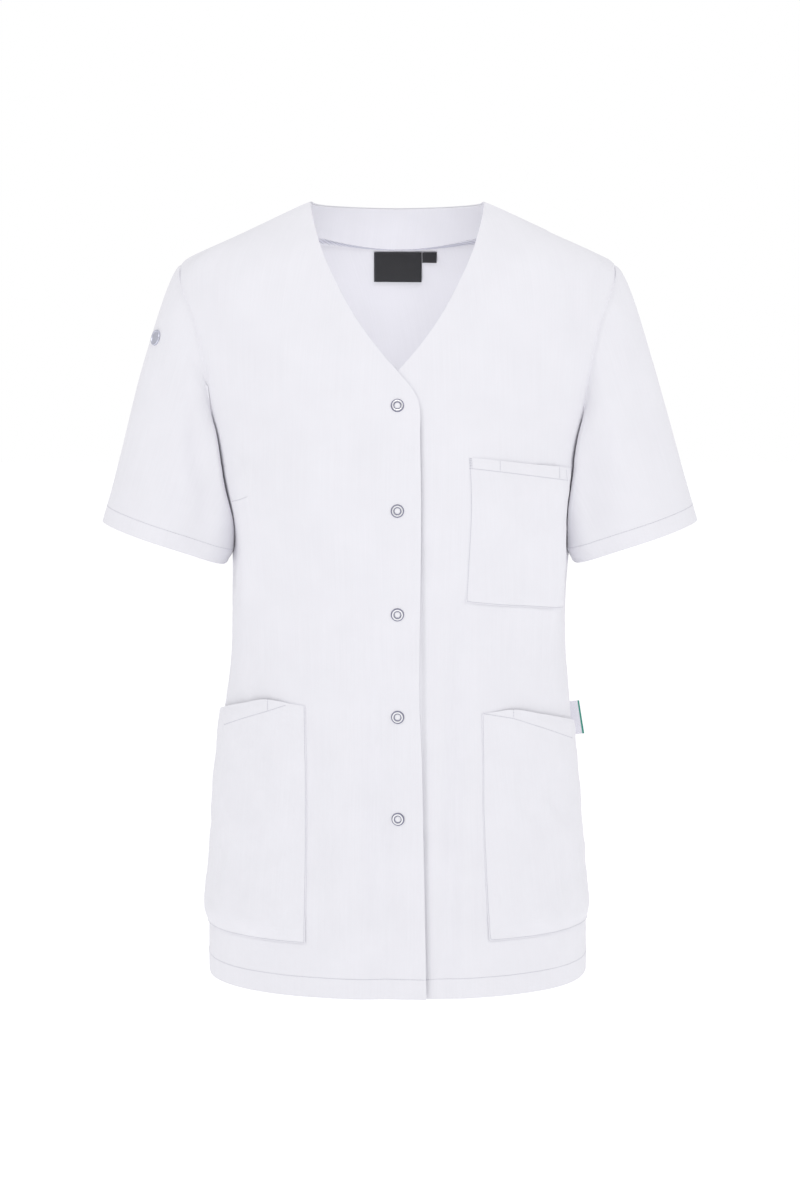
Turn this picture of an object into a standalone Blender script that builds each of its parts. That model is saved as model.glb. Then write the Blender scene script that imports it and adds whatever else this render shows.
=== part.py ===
"""Women's short-sleeved work tunic with a V neck and ring snaps, filled out as when it is worn.

Metres, +Z up. The front faces -Y, so the wearer's left is at +X. The origin lies on the centre
plane, level with the middle of the shoulder seams, where the wearer's shoulders carry the cloth.

Every piece of cloth is cut on one form, a smooth loop at each height. A place on the form is an
angle round the body in degrees, 0 at the centre front and 90 at the wearer's left side, and a
height. A piece is a grid of such places between its four edges, moved out or in by its layer.
"""

import math
from collections import namedtuple

import bmesh
import bpy
import numpy as np
from mathutils import Matrix, Vector

# ---- Cloth -------------------------------------------------------------------------------------
WALL = 0.0014          # body and sleeves
POCKET_WALL = 0.0013
FACING_WALL = 0.0011
LABEL_WALL = 0.0010
SEAM_GAP = 0.0003      # between the edges of two pieces that are sewn together
LAYER_GAP = 0.0005     # between two pieces that lie on each other
POCKET_GAP = 0.0010    # under a pocket, for the allowance folded in along its edges

# ---- Levels, as heights over the shoulder rest --------------------------------------------------
HEM = -0.6930
HEM_RISE = 0.0020      # at the side seams
UNDERARM = -0.2330
V_CORNER = -0.1506     # where the neckline meets the straight front edge
SHOULDER_POINT = -0.0300
NECK_POINT = 0.0265
NECK_DIP = 0.0044      # the back neckline's middle is this much lower than the neck points

SIDE_SEAM = 95.0       # degrees, a little behind the widest line
FRONT_FULLNESS = 2.25  # 2 is an ellipse, more is squarer
BACK_FULLNESS = 2.15

# ---- How finely it is worked out -----------------------------------------------------------------
SHARP_ANGLE = math.radians(50)
ANGLE_STEP = 0.2       # degrees, to find which way the form faces
HEIGHT_STEP = 0.0004
HALVINGS = 32          # of the angle range, to find the place at a distance across
CURVE_STEPS = 24       # between two rows of an edge's table
MERGE = 1e-6

# ---- The form: half width, and depth before and behind the side line, at each height ------------
Section = namedtuple("Section", "height half_width front_depth back_depth")
FORM = (
    Section(-0.6930, 0.1783, 0.1270, 0.1190),
    Section(-0.6600, 0.1783, 0.1258, 0.1180),
    Section(-0.5800, 0.1722, 0.1228, 0.1130),
    Section(-0.5000, 0.1657, 0.1208, 0.1045),
    Section(-0.4300, 0.1603, 0.1212, 0.0965),
    Section(-0.3700, 0.1556, 0.1232, 0.0945),
    Section(-0.3000, 0.1562, 0.1268, 0.0985),
    Section(-0.2650, 0.1585, 0.1275, 0.1015),
    Section(-0.2330, 0.1648, 0.1262, 0.1045),
    Section(-0.2000, 0.1695, 0.1220, 0.1070),
    Section(-0.1500, 0.1855, 0.1125, 0.1085),
    Section(-0.1000, 0.1985, 0.1000, 0.1060),
    Section(-0.0580, 0.2040, 0.0825, 0.0985),
    Section(-0.0300, 0.2000, 0.0690, 0.0900),
    Section(-0.0140, 0.1690, 0.0580, 0.0820),
    Section(0.0000, 0.1385, 0.0460, 0.0745),
    Section(0.0155, 0.1055, 0.0270, 0.0650),
    Section(0.0265, 0.0803, 0.0080, 0.0560),
)

# ---- Fullness and the largest folds: how far each stands out, and how far it spreads ------------
Fold = namedtuple("Fold", "angle height rise half_angle half_height lean")
FOLDS = (
    # fullness over the bust, which the darts give the cloth
    Fold(-38, -0.240, 0.0060, 20, 0.060, 0),
    Fold(38, -0.240, 0.0060, 20, 0.060, 0),
    # folds that fall from the darts, and the hollows beside them
    Fold(-60, -0.265, 0.0042, 8, 0.055, 60),
    Fold(-75, -0.285, -0.0032, 9, 0.050, 0),
    Fold(66, -0.285, 0.0040, 8, 0.075, -45),
    Fold(80, -0.300, -0.0020, 7, 0.055, 0),
    # the sides below the sleeves, fuller on the wearer's left than on the right
    Fold(92, -0.288, 0.0036, 28, 0.030, 0),
    Fold(92, -0.350, 0.0014, 28, 0.080, 0),
    Fold(-92, -0.288, -0.0016, 28, 0.035, 0),
    Fold(-92, -0.350, -0.0012, 28, 0.080, 0),
    # soft vertical folds of the lower front
    Fold(-17, -0.590, 0.0026, 7, 0.110, 8),
    Fold(-31, -0.560, -0.0020, 7, 0.120, 0),
    Fold(22, -0.570, 0.0028, 7, 0.120, -10),
    Fold(34, -0.540, -0.0020, 7, 0.110, 0),
    # shoulder blades, and folds over the small of the back
    Fold(150, -0.120, 0.0035, 22, 0.060, 0),
    Fold(-150, -0.120, 0.0035, 22, 0.060, 0),
    Fold(158, -0.400, 0.0042, 9, 0.120, 30),
    Fold(176, -0.430, -0.0035, 9, 0.130, 0),
    Fold(-165, -0.410, 0.0040, 10, 0.110, -25),
    Fold(128, -0.340, 0.0030, 10, 0.080, -60),
    Fold(-130, -0.350, 0.0034, 10, 0.085, 55),
    Fold(-176, -0.640, 0.0030, 11, 0.090, 0),
    Fold(150, -0.640, -0.0026, 10, 0.080, 0),
)

# ---- Outlines of the pieces ---------------------------------------------------------------------
EdgePoint = namedtuple("EdgePoint", "x height")
NECKLINE = (  # from the corner at the front edge, past the centre plane, up to the neck point
    EdgePoint(-0.0190, V_CORNER),
    EdgePoint(0.0000, -0.1260),
    EdgePoint(0.0220, -0.1010),
    EdgePoint(0.0395, -0.0750),
    EdgePoint(0.0492, -0.0600),
    EdgePoint(0.0587, -0.0400),
    EdgePoint(0.0710, -0.0090),
    EdgePoint(0.0768, 0.0100),
    EdgePoint(0.0803, NECK_POINT),
)
TOP_FRONT_EDGE = (  # the edge that shows swings out a little towards the hem
    EdgePoint(-0.0262, HEM),
    EdgePoint(-0.0221, -0.4860),
    EdgePoint(-0.0195, -0.4000),
    EdgePoint(-0.0190, V_CORNER),
)
UNDER_FRONT_EDGE = (
    EdgePoint(-0.0190, HEM),
    EdgePoint(-0.0190, V_CORNER),
)
UNDER_FRONT_SINKS = (0.028, 0.058)  # from x to x, the under front comes out to the top one's level

FormPlace = namedtuple("FormPlace", "angle height")
FRONT_ARMHOLE = (  # from the shoulder point down to the underarm
    FormPlace(90.0, SHOULDER_POINT),
    FormPlace(87.6, -0.0380),
    FormPlace(81.5, -0.0580),
    FormPlace(77.2, -0.0800),
    FormPlace(74.6, -0.1080),
    FormPlace(73.6, -0.1400),
    FormPlace(74.9, -0.1750),
    FormPlace(79.5, -0.2050),
    FormPlace(87.0, -0.2250),
    FormPlace(SIDE_SEAM, UNDERARM),
)
BACK_ARMHOLE = (
    FormPlace(90.0, SHOULDER_POINT),
    FormPlace(94.0, -0.0380),
    FormPlace(99.5, -0.0560),
    FormPlace(104.8, -0.0800),
    FormPlace(107.8, -0.1100),
    FormPlace(109.0, -0.1450),
    FormPlace(108.5, -0.1800),
    FormPlace(105.0, -0.2100),
    FormPlace(100.5, -0.2270),
    FormPlace(SIDE_SEAM, UNDERARM),
)

# ---- Grid steps ---------------------------------------------------------------------------------
FRONT_COLUMNS = 18
SIDE_ROWS = 20         # from the hem to the underarm
ARMHOLE_ROWS = 10      # from the underarm to the shoulder point
CENTRE_ROWS = 21       # from the hem to the corner of the V; the rest are along the neckline
SHOULDER_COLUMNS = 6
BACK_NECK_COLUMNS = 12
HEM_BEND = 55.0        # degrees from the centre line, where the hem starts to rise
POCKET_COLUMNS = 10
POCKET_ROWS = 12

# ---- Sleeves ------------------------------------------------------------------------------------
SleeveCut = namedtuple("SleeveCut", "name side cuff_centre folds")
CUFF_HALF_WIDTH = 0.0598
CUFF_HALF_DEPTH = 0.0570
CUFF_UNDER_FULLNESS = 3.2              # of its under half, which lies flat beside the body; 2 is an ellipse
SLEEVE_LEAN = math.radians(17.9)       # from straight down, outwards
SLEEVE_STEPS = (0.0, 0.035, 0.10, 0.20, 0.32, 0.45, 0.59, 0.73, 0.87, 1.0)
TOP_LEAVES = Vector((0.91, 0.0, -0.41))        # the way the cloth leaves the seam, on top
UNDER_LEAVES = Vector((0.10, 0.0, -0.99))      # and at the underarm
LEAVES_SIDEWAYS = 0.25
LEAVES_SEAM = 0.33     # pull of that way on a sleeve line, as a share of the line's length
MEETS_CUFF_TOP = 1.00  # and of the sleeve's own way at the cuff
MEETS_CUFF_UNDER = 2.00
UNDERSIDE_TURN = 115.0                 # degrees from the top; past it the body's side is met
BODY_CLEARANCE = 0.0012                # where the sleeve lies against the body's side
CLEARANCE_FROM = 0.20                  # share of the way along at which the clearance is full
SleeveFold = namedtuple("SleeveFold", "turn along rise half_turn half_along")
BOTH_SLEEVES = (       # turn 0 on top, 90 in front, -90 behind; along 0 at the seam, 1 at the cuff
    SleeveFold(58, 0.38, -0.0030, 17, 0.26),
    SleeveFold(92, 0.55, 0.0016, 18, 0.30),
    SleeveFold(130, 0.52, 0.0052, 22, 0.34),
    SleeveFold(-50, 0.45, -0.0028, 18, 0.28),
    SleeveFold(-85, 0.62, 0.0024, 18, 0.28),
    SleeveFold(-130, 0.50, -0.0024, 18, 0.30),
)
LEFT_TOP = (SleeveFold(0, 0.42, -0.0024, 60, 0.26),)
RIGHT_TOP = (SleeveFold(0, 0.29, -0.0036, 50, 0.22), SleeveFold(28, 0.29, 0.0036, 18, 0.20))
SLEEVES = (
    SleeveCut("sleeve_left", 1, Vector((0.2228, 0.0030, -0.2856)), BOTH_SLEEVES + LEFT_TOP),
    SleeveCut("sleeve_right", -1, Vector((0.2182, 0.0030, -0.2868)), BOTH_SLEEVES + RIGHT_TOP),
)

# ---- Pockets ------------------------------------------------------------------------------------
CHEST_POCKET_TOP = (EdgePoint(0.0629, -0.2019), EdgePoint(0.1566, -0.2161))
CHEST_POCKET_BOTTOM = (EdgePoint(0.0610, -0.3317), EdgePoint(0.1505, -0.3450))
CHEST_POCKET_OUTER = EdgePoint(0.1520, -0.2620)   # its outer edge bends here, at the dart
CHEST_POCKET_PUFF = 0.0012
CHEST_POCKET_COLUMNS = 8
CHEST_POCKET_ROWS = 10

SidePocket = namedtuple(
    "SidePocket", "name side inner_top peak outer_top inner_bottom outer_bottom puff"
)
SIDE_POCKETS = (
    SidePocket("pocket_right", -1, EdgePoint(0.0830, -0.4272), EdgePoint(0.1178, -0.4231),
               -0.4490, EdgePoint(0.0837, -0.6436), -0.6445, 0.0050),
    SidePocket("pocket_left", 1, EdgePoint(0.0753, -0.4335), EdgePoint(0.1053, -0.4312),
               -0.4610, EdgePoint(0.0831, -0.6412), -0.6420, 0.0038),
)
PEAK_SHARE = 0.2061    # the top edge's peak, as a share of the pocket's width
PUFF_INNER = 0.30      # share of the width over which the puff grows from the inner edge
PUFF_OUTER = 0.07
PUFF_BOTTOM = 0.07     # the same share of the height
PUFF_LESS_AT_TOP = 0.35
POCKET_SIDE = 94.4     # degrees, just in front of the side seam

# ---- Back neck facing and labels ----------------------------------------------------------------
FACING_LOW = -0.0174                   # height of its lower edge at the middle of the back
FACING_ROWS_DEEP = 2.19                # the same depth in rows of the back's grid
FACING_LEVEL = 0.22                    # how level its lower edge is; 0 keeps the full depth
FACING_ALONG_SHOULDER = 0.90           # its depth along the shoulder seam, in columns
FACING_GAP = 0.0008
Label = namedtuple("Label", "name x_from x_to height lift")
NECK_LABELS = (
    Label("neck_label", -0.0225, 0.0230, 0.0280, 0.0030),
    Label("size_tab", 0.0236, 0.0374, 0.0098, 0.0012),
)
LABEL_COLUMNS = 4
LABEL_ROWS = 3
SIDE_LABEL_TOP = -0.4410
SIDE_LABEL_DROP = 0.0320
SIDE_LABEL_REACH = 0.0110
SIDE_LABEL_COLUMNS = 2
SIDE_LABEL_SWING = 0.0030              # its lower end stands this much further out

# ---- Snaps and stud -----------------------------------------------------------------------------
SNAP_COUNT = 5
SNAP_TOP = -0.1563
SNAP_PITCH = 0.0930
SNAP_RING = 0.00465                    # radius to the middle of the ring's metal
SNAP_METAL = 0.00120
SNAP_FLATNESS = 0.55
BACK_RING = 0.00400
RING_STEPS = 16
METAL_GAP = 0.0003                     # under a ring or the stud
STUD_RADIUS = 0.0074
STUD_HEIGHT = 0.0016
STUD_BEVEL = 0.0005
STUD_STEPS = 20
STUD_LIFT = 0.0004                     # more, since the sleeve curves away under it
STUD_TURN = 23.0                       # degrees round the sleeve from its top, towards the front
STUD_ALONG = 0.338                     # share of the way from the seam to the cuff

# ---- Finishes -----------------------------------------------------------------------------------
WHITE_CLOTH = (0.845, 0.840, 0.885, 1.0)
BLACK_TAPE = (0.012, 0.012, 0.014, 1.0)
LABEL_TAPE = (0.780, 0.800, 0.800, 1.0)
STEEL = (0.560, 0.560, 0.580, 1.0)


# ---- The form -----------------------------------------------------------------------------------
def slopes_of(places, values):
    """Slope at each row of a table that keeps the curve between two rows within their values."""
    steps = np.diff(values) / np.diff(places)
    before = np.append(steps[0], steps)
    after = np.append(steps, steps[-1])
    same_way = before * after > 0
    total = np.where(same_way, before + after, 1.0)
    return np.where(same_way, 2 * before * after / total, 0.0)


def smooth_read(places, values, place):
    """Value at a place on the smooth curve through a table's rows."""
    slopes = slopes_of(places, values)
    row = int(np.clip(np.searchsorted(places, place) - 1, 0, len(places) - 2))
    span = places[row + 1] - places[row]
    t = (place - places[row]) / span
    return (
        (1 + 2 * t) * (1 - t) ** 2 * values[row]
        + t * (1 - t) ** 2 * span * slopes[row]
        + t * t * (3 - 2 * t) * values[row + 1]
        - t * t * (1 - t) * span * slopes[row + 1]
    )


FORM_COLUMNS = np.array(FORM).T


def wrapped(degrees):
    """The same angle between -180 and 180."""
    return (degrees + 180) % 360 - 180


def fold_rise(angle, height):
    """How far the folds lift the cloth off the plain form."""
    rise = 0.0
    for fold in FOLDS:
        off_angle = wrapped(angle - fold.angle - fold.lean * (height - fold.height))
        off_height = height - fold.height
        rise += fold.rise * math.exp(
            -((off_angle / fold.half_angle) ** 2) - (off_height / fold.half_height) ** 2
        )
    return rise


def form_point(angle, height):
    """Point of the form at an angle round the body and a height."""
    heights, half_widths, front_depths, back_depths = FORM_COLUMNS
    sine = math.sin(math.radians(angle))
    cosine = math.cos(math.radians(angle))
    in_front = cosine >= 0
    depth = smooth_read(heights, front_depths if in_front else back_depths, height)
    half_width = smooth_read(heights, half_widths, height)
    power = FRONT_FULLNESS if in_front else BACK_FULLNESS
    reach = (abs(sine / half_width) ** power + abs(cosine / depth) ** power) ** (-1 / power)
    reach += fold_rise(angle, height)
    return np.array((reach * sine, -reach * cosine, height))


def form_normal(angle, height):
    """Outward direction of the form."""
    across = form_point(angle + ANGLE_STEP, height) - form_point(angle - ANGLE_STEP, height)
    along = form_point(angle, height + HEIGHT_STEP) - form_point(angle, height - HEIGHT_STEP)
    normal = np.cross(across, along)
    return normal / np.linalg.norm(normal)


def cloth_point(angle, height, out=0.0):
    """Point that lies a distance outside the form, or inside it where out is negative."""
    return form_point(angle, height) + out * form_normal(angle, height)


def place_across(x, height, behind=False):
    """The place on the front, or on the back, at a distance x from the centre plane."""
    low, high = -90.0, 90.0
    for _ in range(HALVINGS):
        middle = (low + high) / 2
        reached = form_point(180 - middle if behind else middle, height)[0]
        if reached < x:
            low = middle
        else:
            high = middle
    return (180 - middle if behind else middle, height)


# ---- Edges and grids of places ------------------------------------------------------------------
def edge_through(rows, fractions):
    """Places at the given fractions of the length of a smooth curve through the rows."""
    rows = np.array(rows, float)
    knots = np.arange(len(rows))
    fine = np.linspace(0, len(rows) - 1, CURVE_STEPS * (len(rows) - 1) + 1)
    if len(rows) > 2:
        curve = np.array([[smooth_read(knots, rows[:, k], t) for k in (0, 1)] for t in fine])
    else:
        curve = rows[0] + (rows[1] - rows[0]) * fine[:, None]
    points = np.array([form_point(*place) for place in curve])
    lengths = np.append(0, np.cumsum(np.linalg.norm(np.diff(points, axis=0), axis=1)))
    wanted = np.asarray(fractions) * lengths[-1]
    return np.column_stack([np.interp(wanted, lengths, curve[:, k]) for k in (0, 1)])


def even(count):
    return np.linspace(0, 1, count + 1)


def closer_at_ends(count):
    """Fractions from 0 to 1 whose steps are shorter near both ends."""
    return (1 - np.cos(np.pi * even(count))) / 2


def joined(first, second):
    """Two edges that share an end, as one."""
    return np.vstack([first, second[1:]])


def grid_between(bottom, top, left, right, across, up):
    """Grid of places, from the bottom row up, that meets its four edges."""
    u = np.asarray(across)[None, :, None]
    v = np.asarray(up)[:, None, None]
    rails = (1 - v) * bottom[None] + v * top[None]
    rungs = (1 - u) * left[:, None] + u * right[:, None]
    corners = (1 - v) * ((1 - u) * bottom[0] + u * bottom[-1]) + v * (
        (1 - u) * top[0] + u * top[-1]
    )
    return rails + rungs - corners


def points_of(grid, out):
    """Points of a grid of places, moved out by a distance, which may be a function of both."""
    distance = out if callable(out) else (lambda row, column: out)
    return np.array(
        [
            [cloth_point(*place, distance(j, i)) for i, place in enumerate(row)]
            for j, row in enumerate(grid)
        ]
    )


def half_gap(place):
    """Degrees that take an edge half a seam's gap back from the seam."""
    angle, height = place
    return math.degrees(SEAM_GAP / 2 / smooth_read(FORM_COLUMNS[0], FORM_COLUMNS[1], height))


def off_seam(edge, way):
    """A seam's places moved round the body by half of its gap."""
    return np.array([(angle + way * half_gap((angle, height)), height) for angle, height in edge])


# ---- Meshes -------------------------------------------------------------------------------------
def collection_named(name):
    collection = bpy.data.collections.new(name)
    bpy.context.scene.collection.children.link(collection)
    return collection


def finish(name, colour, roughness, metallic=0.0):
    """A plain material."""
    material = bpy.data.materials.new(name)
    material.use_nodes = True
    shader = material.node_tree.nodes["Principled BSDF"]
    shader.inputs["Base Color"].default_value = colour
    shader.inputs["Roughness"].default_value = roughness
    shader.inputs["Metallic"].default_value = metallic
    return material


def object_from(name, bm, material, collection):
    mesh = bpy.data.meshes.new(name)
    bm.to_mesh(mesh)
    bm.free()
    mesh.shade_smooth()
    mesh.set_sharp_from_angle(angle=SHARP_ANGLE)
    mesh.materials.append(material)
    made = bpy.data.objects.new(name, mesh)
    collection.objects.link(made)
    return made


def sheet_into(bm, points):
    """Adds a grid of faces through rows of points, and returns its new vertices."""
    rows, columns = points.shape[:2]
    made = bmesh.ops.create_grid(bm, x_segments=columns - 1, y_segments=rows - 1, size=1)
    ordered = sorted(made["verts"], key=lambda v: (round(v.co.y, 6), round(v.co.x, 6)))
    for vertex, point in zip(ordered, points.reshape(-1, 3)):
        vertex.co = point
    return ordered


def boundary_loops(bm):
    """The open edges of a mesh, as one list for each closed loop."""
    loops = []
    waiting = {edge for edge in bm.edges if edge.is_boundary}
    while waiting:
        loop = []
        reached = [waiting.pop()]
        while reached:
            edge = reached.pop()
            loop.append(edge)
            touching = {near for v in edge.verts for near in v.link_edges} & waiting
            waiting -= touching
            reached.extend(touching)
        loops.append(loop)
    return loops


def loop_centre(loop):
    total = sum((edge.verts[0].co + edge.verts[1].co for edge in loop), Vector())
    return total / (2 * len(loop))


def cloth_piece(name, outer, inner, material, collection, tube=False):
    """Closed wall between an outer and an inner grid of points. A tube's last column is its first."""
    bm = bmesh.new()
    sheet_into(bm, outer)
    inner_vertices = sheet_into(bm, inner)
    inner_faces = list({face for vertex in inner_vertices for face in vertex.link_faces})
    bmesh.ops.reverse_faces(bm, faces=inner_faces)
    if tube:
        bmesh.ops.remove_doubles(bm, verts=bm.verts, dist=MERGE)
    top_centre = Vector(outer[-1].mean(axis=0))
    loops = sorted(boundary_loops(bm), key=lambda loop: (loop_centre(loop) - top_centre).length)
    for first in range(0, len(loops), 2):
        bmesh.ops.bridge_loops(bm, edges=loops[first] + loops[first + 1])
    bmesh.ops.recalc_face_normals(bm, faces=bm.faces)
    return object_from(name, bm, material, collection)


def ring(name, centre, normal, radius, material, collection):
    """Flattened metal ring lying on the cloth."""
    bpy.ops.mesh.primitive_torus_add(
        major_radius=radius, minor_radius=SNAP_METAL, major_segments=RING_STEPS, minor_segments=6
    )
    made = bpy.context.object
    made.name = name
    made.data.transform(Matrix.Diagonal((1, 1, SNAP_FLATNESS, 1)))
    made.rotation_euler = Vector(normal).to_track_quat("Z", "Y").to_euler()
    made.location = centre
    made.data.shade_smooth()
    made.data.materials.append(material)
    for owner in made.users_collection:
        owner.objects.unlink(made)
    collection.objects.link(made)
    return made


# ---- Body ---------------------------------------------------------------------------------------
def under_front_out(x):
    """Depth of the under front below the top one: full under the overlap, none beside it."""
    start, end = UNDER_FRONT_SINKS
    t = min(max((x - start) / (end - start), 0.0), 1.0)
    return -(WALL + LAYER_GAP) * (1 - t * t * (3 - 2 * t))


def front_grid(centre_edge, side):
    """Places of one front, from its centre edge out to the side seam, for the wearer's left."""
    neck_rows = SIDE_ROWS + ARMHOLE_ROWS - CENTRE_ROWS

    def across_front(point):
        angle, height = place_across(side * point.x, point.height)
        return side * angle, height

    def own(places):
        return [(side * angle, height) for angle, height in places]

    centre = edge_through(own(map(across_front, centre_edge)), even(CENTRE_ROWS))
    neckline = edge_through(own(map(across_front, NECKLINE)), even(neck_rows))
    side_seam = edge_through(
        own([(SIDE_SEAM, HEM + HEM_RISE), (SIDE_SEAM, UNDERARM)]), even(SIDE_ROWS)
    )
    armhole = edge_through(own(FRONT_ARMHOLE[::-1]), even(ARMHOLE_ROWS))
    left = joined(centre, neckline)
    right = off_seam(joined(side_seam, armhole), -side)
    left[-1] = off_seam(left[-1:], -side)
    bend = (side * HEM_BEND, HEM)
    bottom = edge_through([left[0], bend, right[0]], even(FRONT_COLUMNS))
    top = edge_through([left[-1], right[-1]], even(FRONT_COLUMNS))
    across = even(FRONT_COLUMNS)
    grid = grid_between(bottom, top, left, right, across, even(SIDE_ROWS + ARMHOLE_ROWS))
    return grid if side > 0 else grid[:, ::-1]


def make_fronts(material, collection):
    top_grid = front_grid(TOP_FRONT_EDGE, -1)
    cloth_piece(
        "front_right", points_of(top_grid, 0), points_of(top_grid, -WALL), material, collection
    )
    under_grid = front_grid(UNDER_FRONT_EDGE, 1)
    depths = np.array(
        [[under_front_out(form_point(*place)[0]) for place in row] for row in under_grid]
    )
    cloth_piece(
        "front_left",
        points_of(under_grid, lambda j, i: depths[j, i]),
        points_of(under_grid, lambda j, i: depths[j, i] - WALL),
        material,
        collection,
    )


def back_neck_height(angle):
    """Height of the back neckline at an angle between 90 and 270."""
    return NECK_POINT - NECK_DIP * math.sin(math.radians(angle - 90))


def back_edge(places):
    """The matching edge on the wearer's right of one on the left."""
    return np.array([(360 - angle, height) for angle, height in places])


def make_back(material, collection):
    side_seam = edge_through(
        [(SIDE_SEAM, HEM + HEM_RISE), (SIDE_SEAM, UNDERARM)], even(SIDE_ROWS)
    )
    armhole = edge_through(BACK_ARMHOLE[::-1], even(ARMHOLE_ROWS))
    left = off_seam(joined(side_seam, armhole), 1)
    right = back_edge(left)
    shoulder = edge_through(
        [left[-1], off_seam([(90.0, NECK_POINT)], 1)[0]], even(SHOULDER_COLUMNS)
    )
    neck_angles = np.linspace(shoulder[-1][0], 360 - shoulder[-1][0], BACK_NECK_COLUMNS + 1)
    neck = np.array([(angle, back_neck_height(angle)) for angle in neck_angles])
    neck[0] = shoulder[-1]
    top = joined(joined(shoulder, neck), back_edge(shoulder)[::-1])
    columns = 2 * SHOULDER_COLUMNS + BACK_NECK_COLUMNS
    bends = [(180 - HEM_BEND, HEM), (180 + HEM_BEND, HEM)]
    bottom = edge_through([left[0], *bends, right[0]], even(columns))
    grid = grid_between(
        bottom, top, left, right, even(columns), even(SIDE_ROWS + ARMHOLE_ROWS)
    )
    cloth_piece("back", points_of(grid, 0), points_of(grid, -WALL), material, collection)
    return grid


def between_points(table, row, column):
    """Value between the four grid points round a fractional row and column."""
    low = min(int(row), len(table) - 2)
    left = min(int(column), len(table[0]) - 2)
    up, share = row - low, column - left
    lower = (1 - share) * table[low, left] + share * table[low, left + 1]
    upper = (1 - share) * table[low + 1, left] + share * table[low + 1, left + 1]
    return (1 - up) * lower + up * upper


def make_facing(grid, material, collection):
    """Strip inside the back neckline, laid along the back's own points, moved in."""
    points = points_of(grid, 0)
    normals = points_of(grid, 1) - points
    top_row = len(grid) - 1
    outer, inner = [], []
    for down in (1.0, 0.5, 0.0):
        outer_row, inner_row = [], []
        for k in range(BACK_NECK_COLUMNS + 1):
            middleness = math.sin(math.pi * k / BACK_NECK_COLUMNS)
            row = top_row - down * FACING_ROWS_DEEP * max(middleness, 0.0) ** FACING_LEVEL
            column = SHOULDER_COLUMNS + k
            if k == 0:
                column = SHOULDER_COLUMNS - FACING_ALONG_SHOULDER * down
            elif k == BACK_NECK_COLUMNS:
                column += FACING_ALONG_SHOULDER * down
            point = between_points(points, row, column)
            normal = between_points(normals, row, column)
            outer_row.append(point - (WALL + FACING_GAP) * normal)
            inner_row.append(point - (WALL + FACING_GAP + FACING_WALL) * normal)
        outer.append(outer_row)
        inner.append(inner_row)
    cloth_piece("back_neck_facing", np.array(outer), np.array(inner), material, collection)


# ---- Sleeves ------------------------------------------------------------------------------------
def armhole_ring():
    """Places round the armhole: from the underarm up the front and down the back."""
    front = edge_through(FRONT_ARMHOLE[::-1], even(ARMHOLE_ROWS))
    behind = edge_through(BACK_ARMHOLE, even(ARMHOLE_ROWS))
    return joined(front, behind)


def squared(share, fullness):
    """A sine or cosine made fuller, for a form that is squarer than an ellipse."""
    return math.copysign(abs(share) ** (2 / fullness), share)


def sleeve_points(cuff_centre):
    """Outer points and outward directions of a sleeve on the left, from the cuff up to the seam."""
    places = armhole_ring()
    steps = len(places) - 1
    axis = Vector((math.sin(SLEEVE_LEAN), 0, -math.cos(SLEEVE_LEAN)))
    outwards = Vector((math.cos(SLEEVE_LEAN), 0, math.sin(SLEEVE_LEAN)))
    lines = []
    seam_normals = []
    for k, place in enumerate(places):
        turn = math.radians(180 - 360 * k / steps)
        top_share = math.cos(turn)
        seam_normal = Vector(form_normal(*place))
        leaving = UNDER_LEAVES.lerp(TOP_LEAVES, (1 + top_share) / 2)
        leaving.y = -LEAVES_SIDEWAYS * math.sin(turn)
        leaving.normalize()
        meets_cuff = MEETS_CUFF_UNDER + (MEETS_CUFF_TOP - MEETS_CUFF_UNDER) * (1 + top_share) / 2
        start = Vector(form_point(*place)) + SEAM_GAP * leaving
        start += seam_normal * SEAM_GAP * (1 - top_share)
        fullness = CUFF_UNDER_FULLNESS if top_share < 0 else 2
        end = (
            cuff_centre
            + CUFF_HALF_WIDTH * squared(top_share, fullness) * outwards
            + CUFF_HALF_DEPTH * squared(math.sin(turn), fullness) * Vector((0, -1, 0))
        )
        length = (end - start).length
        line = []
        for t in SLEEVE_STEPS:
            line.append(
                (1 + 2 * t) * (1 - t) ** 2 * start
                + t * (1 - t) ** 2 * LEAVES_SEAM * length * leaving
                + t * t * (3 - 2 * t) * end
                - t * t * (1 - t) * meets_cuff * length * axis
            )
        lines.append(line)
        seam_normals.append(seam_normal)
    points = np.array(lines).transpose(1, 0, 2)[::-1]
    points[:, -1] = points[:, 0]
    across = np.roll(points[:, :-1], -1, axis=1) - np.roll(points[:, :-1], 1, axis=1)
    up = np.gradient(points[:, :-1], axis=0)
    normals = np.cross(across, up)
    normals /= np.linalg.norm(normals, axis=2, keepdims=True)
    normals = np.concatenate([normals, normals[:, :1]], axis=1)
    normals[-1] = np.array(seam_normals)
    return points, normals


def sleeve_rise(folds, turn, along):
    """How far a sleeve's folds lift it, at a turn from its top and a share along it."""
    rise = 0.0
    for fold in folds:
        off_turn = wrapped(turn - fold.turn)
        rise += fold.rise * math.exp(
            -((off_turn / fold.half_turn) ** 2) - ((along - fold.along) / fold.half_along) ** 2
        )
    return rise * min(1.0, along / 0.10)


def clear_of_body(point, along, side):
    """The point, moved out where it would lie in the body's side or too near to it."""
    angle = math.degrees(math.atan2(point[0], -point[1]))
    form = form_point(side * angle, point[2]) * (side, 1, 1)
    clearance = BODY_CLEARANCE * min(along / CLEARANCE_FROM, 1.0)
    needed = math.hypot(form[0], form[1]) + clearance
    reach = math.hypot(point[0], point[1])
    return point * (max(needed / reach, 1.0), max(needed / reach, 1.0), 1.0)


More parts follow.
